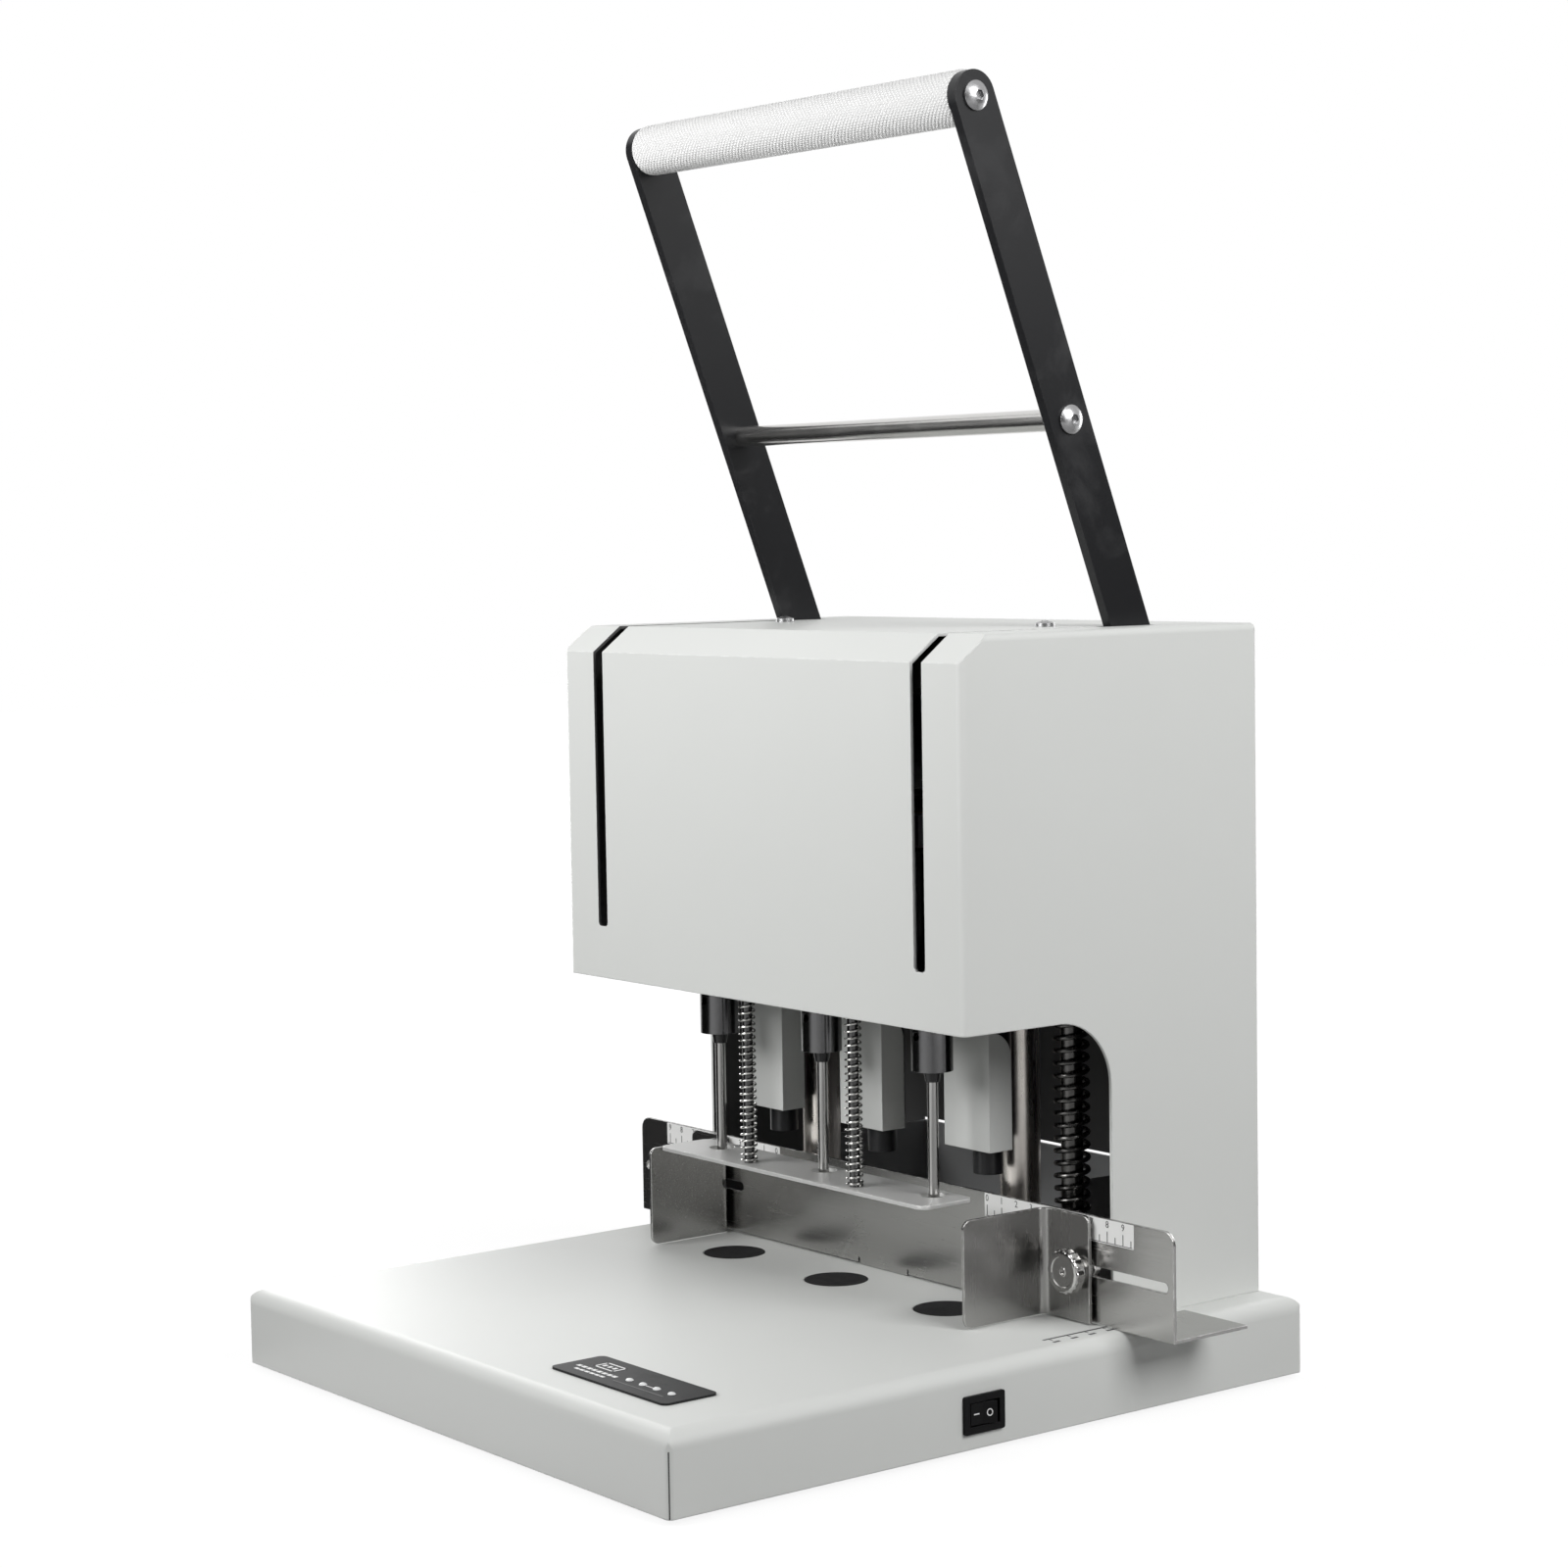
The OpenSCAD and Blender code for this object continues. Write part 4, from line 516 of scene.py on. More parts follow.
# What all printed marks share, and the painted shade within head and rear cover
PRINT = {"peel": 2000.0, "depth": 0.00001, "edge": 1.0, "radius": 0.0001}
INSIDE_SHADE = (0.085, 0.085, 0.085)
GRIP_R = 12 * MM


def build_finishes(colours, sizes):
    """One material for each finish, by the record's slot name or a printed finish."""
    length = (30.0, 1400.0, 1400.0)
    upright = (1400.0, 1400.0, 30.0)
    round_turned = (500.0, 500.0, 2200.0)
    coat = tuple(colours.coat)
    sheet = tuple(colours.sheet)
    steel = tuple(colours.steel)
    ridges = round(2 * math.pi * GRIP_R / sizes.knurl_pitch)
    # An edge factor above 1 paints a highlight along sharp edges
    made = (
        painted("powder_coat", coat, 0.44, peel=1000.0, depth=0.00004, edge=1.4, radius=0.0009),
        coat_dark_inside("head_coat", coat, INSIDE_SHADE, (0.0, 120 * MM, 250 * MM)),
        coat_dark_inside("rear_coat", coat, INSIDE_SHADE, (0.0, 100 * MM, 200 * MM)),
        painted("black_coat", tuple(colours.arm), 0.30, peel=1300.0, depth=0.00003, edge=3.0,
                radius=0.0006, cloud=0.35, smudge=0.30, gloss=0.36),
        metal("bare_plate", (0.30, 0.30, 0.30), 0.42, length, cloud=0.15),
        metal("stainless", sheet, 0.25, length, **SHEET, smudge=0.10, cloud=0.06),
        # Painted shade: the right guide's stainless is the fence's sheet darkened to 0.78
        metal("guide_sheet", shade(sheet, 0.78), 0.25, upright, **SHEET, smudge=0.12, cloud=0.08),
        metal("presser_sheet", (0.66, 0.66, 0.65), 0.40, length, depth=0.000008, edge=1.5,
              radius=0.0009, smudge=0.08, cloud=0.06, rim=0.45, metallic=0.45),
        metal("bar_steel", (0.66, 0.655, 0.64), 0.22, length, depth=0.000001, grain=0.03,
              smudge=0.04, cloud=0.05),
        metal("bit_steel", (0.36, 0.357, 0.35), 0.14, upright, depth=0.000004, cloud=0.08,
              grain=0.03, smudge=0.06),
        metal("bright_steel", steel, 0.22, upright),
        metal("chuck_steel", tuple(colours.chuck), 0.30, round_turned, edge=1.6),
        metal("chrome", (0.50, 0.495, 0.485), 0.10, round_turned, depth=0.000004, grain=0.03,
              smudge=0.10),
        metal("dark_spring", tuple(colours.spring), 0.24, upright, cloud=0.3),
        knurled_metal("knurled", tuple(colours.grip), sizes.knurl_pitch, ridges),
        metal("alloy", (0.52, 0.53, 0.54), 0.38, length, cloud=0.06),
        metal("bronze", (0.42, 0.26, 0.12), 0.35, round_turned),
        painted("galvanised", (0.40, 0.405, 0.41), 0.5, peel=700.0, depth=0.00002, edge=1.3,
                metallic=0.25, cloud=0.05, smudge=0.1),
        painted("pad_plastic", (0.014, 0.014, 0.015), 0.55, peel=600.0, depth=0.00006, edge=1.5,
                cloud=0.3, smudge=0.2, gloss=0.22),
        painted("panel_plastic", tuple(colours.panel), 0.42, peel=1600.0, depth=0.00002, edge=1.6,
                radius=0.0003, cloud=0.1, smudge=0.15, gloss=0.18),
        painted("black_plastic", (0.007, 0.007, 0.0075), 0.38, peel=1500.0, depth=0.00003,
                edge=1.9, radius=0.0004, cloud=0.15, smudge=0.15, gloss=0.10),
        painted("board", (0.02, 0.10, 0.045), 0.35, peel=700.0, edge=1.3, coat=0.3),
        painted("black_rubber", (0.020, 0.020, 0.021), 0.75, peel=500.0, depth=0.0001, edge=1.6,
                cloud=0.2, smudge=0.1, gloss=0.25),
        metal("dark_rod", (0.10, 0.10, 0.10), 0.22, upright, cloud=0.2),
        metal("spring_wire", (0.62, 0.615, 0.60), 0.16, upright, cloud=0.15),
        chuck_with_nose("chuck_nose", tuple(colours.chuck), sizes.nose_top),
        metal("column_steel", (0.72, 0.68, 0.64), 0.28, (160.0, 160.0, 8.0), depth=0.000006,
              cloud=0.35, smudge=0.14),
        metal("screw_steel", (0.34, 0.34, 0.345), 0.30, round_turned, edge=1.7, radius=0.0003,
              cloud=0.15),
        # Painted shade: the guards' coat is the powder coat darkened to 0.88
        painted("guard_coat", shade(coat, 0.88), 0.5, peel=1000.0, depth=0.00003, edge=1.15),
        painted("rule_white", (0.86, 0.86, 0.85), 0.45, peel=1200.0, depth=0.00001, edge=1.0,
                radius=0.0002),
        painted("rule_ink", (0.045, 0.045, 0.048), 0.5, **PRINT, cloud=0.2),
        painted("print_white", (0.84, 0.84, 0.84), 0.5, **PRINT, cloud=0.1),
        painted("print_grey", (0.11, 0.11, 0.11), 0.5, **PRINT, cloud=0.1),
        painted("seam_dark", (0.05, 0.05, 0.05), 0.7, **PRINT, cloud=0.3),
        lamp_lens("lamp_lens", (0.80, 0.81, 0.81)),
    )
    return {material.name: material for material in made}


NODE_FINISHES = {
    "head_cover": "head_coat", "rear_cover": "rear_coat", "presser_plate": "presser_sheet",
    "guide_right": "guide_sheet", "crossbar": "bar_steel",
    "lever_screws": "screw_steel", "pan_screws": "screw_steel",
    "bit_left": "bit_steel", "bit_middle": "bit_steel", "bit_right": "bit_steel",
    "column_left": "column_steel", "column_right": "column_steel",
    "motor_guards": "guard_coat", "return_rod": "dark_spring", "presser_rods": "dark_rod",
    "spindle_left": "chuck_nose", "spindle_middle": "chuck_nose", "spindle_right": "chuck_nose",
}


def dress(node, finish):
    """The CAD node shows that finish."""
    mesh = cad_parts[node].data
    mesh.materials.clear()
    mesh.materials.append(FINISHES[finish])


# ---------------------------------------------------------------- mesh helpers

def put(name, data):
    """A new object in the scene."""
    thing = bpy.data.objects.new(name, data)
    bpy.context.scene.collection.objects.link(thing)
    return thing


def box_and_middle(node):
    """Both corners of the node's box, and its middle."""
    lo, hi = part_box(node)
    return lo, hi, (lo + hi) / 2


def circle(steps):
    """Cosine and sine of evenly spaced angles."""
    angles = [2 * math.pi * k / steps for k in range(steps)]
    return [(math.cos(a), math.sin(a)) for a in angles]


def mesh_piece(name, shape, finish, body="machine_frame", slot=None, smooth=True, sharp=35):
    """A new piece from its points and faces, on that body."""
    verts, faces = shape
    mesh = bpy.data.meshes.new(name)
    mesh.from_pydata([tuple(v) for v in verts], [], faces)
    mesh.update()
    tool = bmesh.new()
    tool.from_mesh(mesh)
    bmesh.ops.recalc_face_normals(tool, faces=tool.faces)
    tool.to_mesh(mesh)
    tool.free()
    mesh.materials.append(FINISHES[finish])
    if smooth:
        mesh.shade_smooth()
        mesh.set_sharp_from_angle(angle=math.radians(sharp))
    piece = put(name, mesh)
    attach(piece, body)
    return piece


def merge(parts):
    """One list of points and faces from several."""
    verts, faces = [], []
    for more_verts, more_faces in parts:
        base = len(verts)
        verts.extend(more_verts)
        faces.extend([tuple(i + base for i in f) for f in more_faces])
    return verts, faces


# Faces of a slab whose points run along x fastest, then y, then z
SLAB_FACES = [(0, 2, 3, 1), (4, 5, 7, 6), (0, 1, 5, 4), (2, 6, 7, 3), (0, 4, 6, 2), (1, 3, 7, 5)]


def slab(lo, hi):
    """Points and faces of a rectangular slab."""
    (x0, y0, z0), (x1, y1, z1) = lo, hi
    return [(x, y, z) for z in (z0, z1) for y in (y0, y1) for x in (x0, x1)], SLAB_FACES


def rounded_outline(x0, y0, x1, y1, r, steps=6):
    """Corner-rounded rectangle, anticlockwise."""
    points = []
    for cx, cy, start in ((x1 - r, y0 + r, -90), (x1 - r, y1 - r, 0), (x0 + r, y1 - r, 90),
                          (x0 + r, y0 + r, 180)):
        for i in range(steps + 1):
            a = math.radians(start + 90 * i / steps)
            points.append((cx + r * math.cos(a), cy + r * math.sin(a)))
    return points


def extruded(outline, place_point, low, high):
    """An outline pushed from low to high; place_point puts (u, v, height) in the frame."""
    n = len(outline)
    verts = [place_point(u, v, h) for h in (low, high) for u, v in outline]
    faces = [tuple(range(n - 1, -1, -1)), tuple(range(n, 2 * n))]
    faces += [(i, (i + 1) % n, (i + 1) % n + n, i + n) for i in range(n)]
    return verts, faces


def ring_faces(rings, steps):
    """Faces between neighbouring rings of points, and a cap at each end."""
    faces = []
    for i in range(rings - 1):
        for k in range(steps):
            m = (k + 1) % steps
            faces.append((i * steps + k, i * steps + m, (i + 1) * steps + m, (i + 1) * steps + k))
    last = (rings - 1) * steps
    return faces + [tuple(range(steps - 1, -1, -1)), tuple(range(last, last + steps))]


def turned(profile, steps, origin, axis):
    """A profile of (radius, height) turned round an axis through origin."""
    axis = Vector(axis).normalized()
    side = axis.orthogonal().normalized()
    other = axis.cross(side)
    verts = [Vector(origin) + axis * h + (side * c + other * s) * r
             for r, h in profile for c, s in circle(steps)]
    return verts, ring_faces(len(profile), steps)


def tube(path, radius, sides):
    """A round tube along a path, capped at both ends."""
    verts = []
    count = len(path)
    up = None
    for i, point in enumerate(path):
        point = Vector(point)
        before = Vector(path[max(i - 1, 0)])
        after = Vector(path[min(i + 1, count - 1)])
        run = (after - before).normalized()
        if up is None:
            up = run.orthogonal().normalized()
        up = (up - run * up.dot(run)).normalized()
        side = run.cross(up)
        verts += [point + (up * c + side * s) * radius for c, s in circle(sides)]
    return verts, ring_faces(count, sides)


def coil_path(x, y, r, wire, z0, z1, curls, steps=28, closed=1.0):
    """Centre line of a compression spring whose end curls lie flat."""
    low, high = z0 + wire / 2, z1 - wire / 2
    rise = wire * 1.02
    points = []
    total = curls + 2 * closed
    n = int(total * steps)
    active = (high - low) - 2 * closed * rise
    for i in range(n + 1):
        t = i / steps
        if t < closed:
            z = low + rise * t
        elif t > closed + curls:
            z = high - rise * (total - t)
        else:
            z = low + closed * rise + active * (t - closed) / curls
        a = 2 * math.pi * t
        points.append((x + r * math.cos(a), y + r * math.sin(a), z))
    return points


def printed_number(text, size):
    """Points and faces of flat printed digits, centred on the origin, in their own plane."""
    curve = bpy.data.curves.new("digits", "FONT")
    curve.body = text
    curve.size = size
    curve.align_x = "CENTER"
    curve.align_y = "BOTTOM"
    curve.resolution_u = 2
    holder = put("digits", curve)
    bpy.context.view_layer.update()
    mesh = bpy.data.meshes.new_from_object(
        holder.evaluated_get(bpy.context.evaluated_depsgraph_get()))
    verts = [tuple(v.co) for v in mesh.vertices]
    faces = [tuple(p.vertices) for p in mesh.polygons]
    bpy.data.objects.remove(holder)
    bpy.data.curves.remove(curve)
    bpy.data.meshes.remove(mesh)
    return verts, faces


# ---------------------------------------------------------------- tables, in millimetres

# Rings of the clamp knob: radius, distance from its face, share of the flutes' depth
KNOB_RINGS = (
    (1.35, 1.1, 0), (1.35, 0.15, 0), (1.9, 0.15, 0), (2.1, 0.35, 0), (6.6, 0.35, 0), (7.0, 0.0, 0),
    (8.7, 0.0, 0), (9.35, 0.22, 0.3), (9.85, 0.7, 1), (10.0, 1.2, 1), (10.0, 4.4, 1),
    (9.85, 4.95, 1), (9.3, 5.4, 0.3), (6.3, 5.5, 0), (5.9, 5.7, 0), (5.5, 6.1, 0), (5.5, 8.2, 0),
    (5.1, 8.7, 0), (2.3, 8.8, 0), (2.0, 9.0, 0))
KNOB_SCREW_R, KNOB_TIP, KNOB_DIP = 2.0, 0.4, 0.5
KNOB_FLUTES, KNOB_STEPS = 18, 162
# Radius and height of the lamp lens and of the rear screw's head
LENS_PROFILE = ((1.75, -0.02), (1.75, 0.12), (1.55, 0.34), (1.45, 0.45), (1.2, 0.66), (0.8, 0.84),
                (0.4, 0.94), (0.05, 0.97))
SCREW_PROFILE = ((3.0, -0.05), (3.0, 0.5), (2.8, 0.95), (2.2, 1.35), (1.2, 1.58), (0.1, 1.62))
# White bars on the control panel, from its middle: x0, y0, x1, y1
PANEL_BARS = (
    [(-29.5, 7.2, -15.5, 8.1), (-29.5, 0.4, -15.5, 1.3), (-29.5, 0.4, -28.6, 8.1),
     (-16.4, 0.4, -15.5, 8.1)]
    + [(-27.3 + 3.6 * k, 3.1, -25.3 + 3.6 * k, 5.4) for k in range(3)]
    + [(-35.4 + 3.7 * k, -4.6, -32.7 + 3.7 * k, -2.5) for k in range(8)]
    + [(-31.8 + 3.7 * k, -8.2, -28.9 + 3.7 * k, -6.6) for k in range(6)])
# Places of the four lamps along the panel, as shares of its length from its middle
LAMP_SHARES = (0.01, 0.125, 0.243, 0.37)
# Signs on the rocker: corners of the dash, and radii and steps of the ring
DASH = ((-1.5, -0.28), (1.5, -0.28), (1.5, 0.28), (-1.5, 0.28))
RING_RADII, RING_STEPS = (1.15, 1.65), 28
# Where the left and the right rule start and end along the fence
RULE_SPANS = ((-174.8, -79.4), (74.4, 173.0))
# Gap between a printed mark and the face that it lies on
LIFT = 0.005 * MM


def in_mm(points):
    return [(a * MM, b * MM) for a, b in points]


def flat_marks(name, parts, finish, body="machine_frame", slot="powder_coat"):
    """Sharp-edged marks as one piece."""
    return mesh_piece(name, merge(parts), finish, body, slot, smooth=False)


# ---------------------------------------------------------------- pieces

class DRILL_OT_finishes(bpy.types.Operator):
    """Build the shared effects and the materials, and give every CAD node its finish"""
    bl_idname = "drill.finishes"
    bl_label = "Finishes"

    def execute(self, context):
        slots = {name: node.data.materials[0].name for name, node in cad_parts.items()}
        for plain in list(bpy.data.materials):
            bpy.data.materials.remove(plain)
        GROUPS.update(build_groups())
        FINISHES.update(build_finishes(context.scene.drill_finishes, context.scene.drill_sizes))
        for name, slot in slots.items():
            dress(name, NODE_FINISHES.get(name, slot))
        return {"FINISHED"}


class DRILL_OT_grip(bpy.types.Operator):
    """Turn the knurled grip with its plain rounded ends"""
    bl_idname = "drill.grip"
    bl_label = "Grip"

    def execute(self, context):
        lo, hi, centre = box_and_middle("grip")
        r = (hi.z - lo.z) / 2
        half = (hi.x - lo.x) / 2
        profile = [(r * 0.45, -half), (r - 1.6 * MM, -half), (r - 0.7 * MM, -half + 0.35 * MM),
                   (r - 0.15 * MM, -half + 1.2 * MM), (r, -half + 2.4 * MM)]
        middle = [(r, -half + 2.4 * MM + (2 * half - 4.8 * MM) * i / 40) for i in range(1, 40)]
        profile = profile + middle + [(a, -h) for a, h in reversed(profile)]
        piece = mesh_piece("grip_sleeve", turned(profile, 72, (0, 0, 0), (1, 0, 0)), "knurled",
                           "lever")
        piece.location = centre
        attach(piece, "lever")
        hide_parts("grip")
        return {"FINISHED"}


class DRILL_OT_springs(bpy.types.Operator):
    """Wind the two presser springs and the return spring"""
    bl_idname = "drill.springs"
    bl_label = "Springs"

    def execute(self, context):
        sizes = context.scene.drill_sizes

        def wind(node, name, wire, curls, sides, *where):
            """A wound spring in place of the CAD's node, with the node's box."""
            lo, hi, mid = box_and_middle(node)
            path = coil_path(mid.x, mid.y, (hi.x - lo.x) / 2 - wire / 2, wire, lo.z, hi.z,
                             curls - 2)
            coil = mesh_piece(name, tube(path, wire / 2, sides), *where)
            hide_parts(node)
            return coil, lo, hi, mid

        for side in ("left", "right"):
            coil, lo, hi, mid = wind(
                "presser_spring_" + side, "presser_coil_" + side, sizes.presser_wire,
                sizes.presser_curls, 8, "spring_wire", "carriage", "bright_steel")
            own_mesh(coil)
        coil, lo, hi, mid = wind("return_spring", "return_coil", sizes.return_wire,
                                 sizes.return_curls, 10, "dark_spring")
        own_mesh(coil)
        return {"FINISHED"}


class DRILL_OT_knobs(bpy.types.Operator):
    """Turn and flute the two clamp knobs of the side guides"""
    bl_idname = "drill.knobs"
    bl_label = "Clamp knobs"

    def execute(self, context):
        for side in ("left", "right"):
            node = "knob_" + side
            lo, hi, mid = box_and_middle(node)
            rim = (hi.z - lo.z) / 2
            length = (hi.y - lo.y) / MM
            rings = KNOB_RINGS + ((KNOB_SCREW_R, length - KNOB_TIP, 0),
                                  (KNOB_SCREW_R - KNOB_TIP, length, 0))
            verts = []
            for r, y, cut in rings:
                for k in range(KNOB_STEPS):
                    a = 2 * math.pi * k / KNOB_STEPS
                    dip = cut * KNOB_DIP * (0.5 - 0.5 * math.cos(KNOB_FLUTES * a)) ** 0.6
                    reach = min(r * MM, rim) - dip * MM
                    verts.append((mid.x + reach * math.cos(a), lo.y + y * MM,
                                  mid.z + reach * math.sin(a)))
            shape = verts, ring_faces(len(rings), KNOB_STEPS)
            knob = mesh_piece("clamp_knob_" + side, shape, "chrome", "knob_%s_body" % side,
                              sharp=40)
            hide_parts(node)
        return {"FINISHED"}


class DRILL_OT_rules(bpy.types.Operator):
    """Stick the two rule labels on the fence, with ticks and numbers"""
    bl_idname = "drill.rules"
    bl_label = "Fence rules"

    def execute(self, context):
        sizes = context.scene.drill_sizes
        lo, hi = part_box("fence")
        face = lo.y
        top = hi.z - 0.3 * MM
        foot = top - 10.9 * MM
        paper = 0.09 * MM

        def on_face(x, z, h):
            return (x, face - h, z)

        for side, (x0, x1) in zip(("left", "right"), in_mm(RULE_SPANS)):
            outline = rounded_outline(x0, foot, x1, top, 0.4 * MM, 3)
            mesh_piece("rule_label_" + side, extruded(outline, on_face, 0.01 * MM, paper),
                       "rule_white", "fence_body", "powder_coat")
            marks = []
            steps = int((x1 - x0 - 3 * MM) / sizes.rule_step)
            start = (x0 + x1 - steps * sizes.rule_step) / 2
            for i in range(steps + 1):
                x = start + i * sizes.rule_step
                tall = (5.6 if i % 2 == 0 else 3.6) * MM
                marks.append(slab((x - 0.22 * MM, face - paper - sizes.ink, foot + 0.5 * MM),
                                  (x + 0.22 * MM, face - paper, foot + tall)))
                if i % 2 == 0:
                    value = i // 2 if side == "right" else (steps - i) // 2
                    flat, digit_faces = printed_number(str(value), 4.4 * MM)
                    points = [(x + u, face - paper - sizes.ink, foot + 6.4 * MM + v)
                              for u, v, _ in flat]
                    marks.append((points, digit_faces))
            baseline = slab((x0 + 1 * MM, face - paper - sizes.ink, foot + 0.4 * MM),
                            (x1 - 1 * MM, face - paper, foot + 0.7 * MM))
            flat_marks("rule_marks_" + side, marks + [baseline], "rule_ink", "fence_body",
                       "black_plastic")
        return {"FINISHED"}


class DRILL_OT_deck_scale(bpy.types.Operator):
    """Print the depth scale on the deck beside the right guide"""
    bl_idname = "drill.deck_scale"
    bl_label = "Deck scale"

    def execute(self, context):
        ink = context.scene.drill_sizes.ink
        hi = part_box("base_shell")[1]
        deck = hi.z + LIFT
        line = hi.x - 16.6 * MM
        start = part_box("guide_right")[0].y + 14.5 * MM
        marks = [slab((line, start, deck), (line + 1.3 * MM, start + 38 * MM, deck + ink))]
        for i in range(4):
            y = start + (3 + 10.5 * i) * MM
            marks.append(slab((line + 1.3 * MM, y - 0.3 * MM, deck),
                              (line + 3.6 * MM, y + 0.3 * MM, deck + ink)))
            marks.append(slab((line + 5.4 * MM, y - 1.9 * MM, deck),
                              (line + 6.9 * MM, y + 1.9 * MM, deck + ink)))
        flat_marks("deck_scale", marks, "rule_ink", slot="black_plastic")
        return {"FINISHED"}


class DRILL_OT_corner_seams(bpy.types.Operator):
    """Draw the closed seams where the base's folded sides meet"""
    bl_idname = "drill.corner_seams"
    bl_label = "Corner seams"

    def execute(self, context):
        sizes = context.scene.drill_sizes
        lo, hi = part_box("base_shell")
        r = sizes.seam_inset
        half = 0.28 * MM
        parts = []
        for sx, sy in ((-1, -1), (1, -1), (1, 1), (-1, 1)):
            x = (hi.x if sx > 0 else lo.x) - sx * r
            y = (hi.y if sy > 0 else lo.y) - sy * r
            out = Vector((sx, sy, 0)).normalized()
            along = Vector((-sy, sx, 0)).normalized()
            face = Vector((x, y, 0)) + out * r
            points = [face + along * t + out * d for d in (-0.25 * MM, 0.03 * MM)
                      for t in (-half, half)]
            low, high = lo.z + 0.3 * MM, hi.z - 7.6 * MM
            parts.append(([p + Vector((0, 0, z)) for z in (low, high) for p in points],
                          SLAB_FACES))
        flat_marks("corner_seams", parts, "seam_dark")
        return {"FINISHED"}


class DRILL_OT_panel_print(bpy.types.Operator):
    """Print the control panel's plain symbols and set its four lamp lenses"""
    bl_idname = "drill.panel_print"
    bl_label = "Control panel"

    def execute(self, context):
        ink = context.scene.drill_sizes.ink
        lo, hi, mid = box_and_middle("control_panel")
        top = hi.z
        white, grey = [], []

        def bar(marks, x0, y0, x1, y1):
            marks.append(slab((mid.x + x0 * MM, mid.y + y0 * MM, top + LIFT),
                              (mid.x + x1 * MM, mid.y + y1 * MM, top + ink)))

        for corners in PANEL_BARS:
            bar(white, *corners)
        lamps = [share * (hi.x - lo.x) for share in LAMP_SHARES]
        lamp_y = mid.y - 0.08 * (hi.y - lo.y)
        bar(grey, lamps[0] / MM - 5, -7.6, lamps[3] / MM + 1, -6.9)
        bar(white, lamps[1] / MM + 2.2, -2.6, lamps[2] / MM - 2.2, -2.0)
        flat_marks("panel_symbols", white, "print_white")
        flat_marks("panel_line", grey, "print_grey")
        for i, x in enumerate(lamps):
            lens = turned(in_mm(LENS_PROFILE), 24, (mid.x + x, lamp_y, top), (0, 0, 1))
            mesh_piece("lamp_lens_%d" % (i + 1), lens, "lamp_lens", slot="panel_plastic", sharp=60)
        return {"FINISHED"}


class DRILL_OT_switch_print(bpy.types.Operator):
    """Print the on and off signs on the rocker"""
    bl_idname = "drill.switch_print"
    bl_label = "Switch signs"

    def execute(self, context):
        ink = context.scene.drill_sizes.ink
        lo, hi, mid = box_and_middle("rocker")
        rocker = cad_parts["rocker"]
        reach = (hi.y - lo.y) / 4
        parts = []
        for side in (-1, 1):
            hit, spot, normal, _ = rocker.ray_cast(
                Vector((hi.x + 0.02, mid.y + side * reach, mid.z)), Vector((-1, 0, 0)))
            if not hit:
                raise RuntimeError("the rocker's face was not found")
            along = Vector((0, 0, 1)).cross(normal).normalized()
            over = normal.cross(along).normalized()

            def on_face(u, v, h):
                return spot + along * u + over * v + normal * h

            if side < 0:
                parts.append(extruded(in_mm(DASH), on_face, 0.01 * MM, ink))
                continue
            rings = [on_face(0.85 * r * MM * c, r * MM * s, ink)
                     for r in RING_RADII for c, s in circle(RING_STEPS)]
            parts.append((rings, ring_faces(2, RING_STEPS)[:RING_STEPS]))
        flat_marks("switch_signs", parts, "print_white", "rocker_body")
        return {"FINISHED"}


class DRILL_OT_rear_fittings(bpy.types.Operator):
    """Press the rear cover's louvres and set its four screws, with painted shade under the louvres
    and in the screws' cross recesses
    """
    bl_idname = "drill.rear_fittings"
    bl_label = "Rear fittings"

    def execute(self, context):
        lo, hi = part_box("rear_cover")
        face = hi.y
        hoods, gap_shades = [], []
        half, tall, proud = 24 * MM, 3.4 * MM, 1.7 * MM
        for cx in (-38 * MM, 38 * MM):
            for row in range(7):
                z = hi.z - (34 + 9 * row) * MM
                rings = []
                for share, width in ((0.0, 1.0), (0.35, 0.985), (0.7, 0.96), (1.0, 0.93)):
                    rise = math.cos(share * math.pi / 2) * tall
                    out = math.sin(share * math.pi / 2) * proud
                    rings.append([(cx - half * width, face + out - 0.05 * MM, z + rise),
                                  (cx + half * width, face + out - 0.05 * MM, z + rise)])
                verts = [p for ring in rings for p in ring]
                verts += [(cx - half, face - 0.05 * MM, z), (cx + half, face - 0.05 * MM, z)]
                faces = [(2 * i, 2 * i + 1, 2 * i + 3, 2 * i + 2) for i in range(3)]
                faces += [(0, 2, 4, 6, 8), (1, 9, 7, 5, 3), (6, 7, 9, 8), (0, 8, 9, 1)]
                hoods.append((verts, faces))
                # Painted shade: a dark strip under each closed hood stands in for its opening
                gap_shades.append(slab((cx - half * 0.92, face - 0.02 * MM, z - 0.25 * MM),
                                 (cx + half * 0.92, face + proud * 0.9, z - 0.01 * MM)))
        mesh_piece("rear_louvres", merge(hoods), "powder_coat", sharp=40)
        flat_marks("louvre_gaps", gap_shades, "seam_dark")
        heads, crosses = [], []
        for cx in (lo.x + 9 * MM, hi.x - 9 * MM):
            for cz in (lo.z + 66 * MM, hi.z - 12 * MM):
                heads.append(turned(in_mm(SCREW_PROFILE), 28, (cx, face, cz), (0, 1, 0)))
                for long_x, long_z in ((1.5, 0.3), (0.3, 1.5)):
                    # Painted shade: a dark cross on the domed head stands in for the recess
                    crosses.append(slab((cx - long_x * MM, face + 1.3 * MM, cz - long_z * MM),
                                        (cx + long_x * MM, face + 1.64 * MM, cz + long_z * MM)))
        mesh_piece("rear_screws", merge(heads), "screw_steel", slot="chrome")
        flat_marks("rear_screw_recesses", crosses, "seam_dark", slot="chrome")
        return {"FINISHED"}


WHITE = (1.0, 1.0, 1.0, 1.0)
# Half the floor's width, in metres
FLOOR_HALF = 6
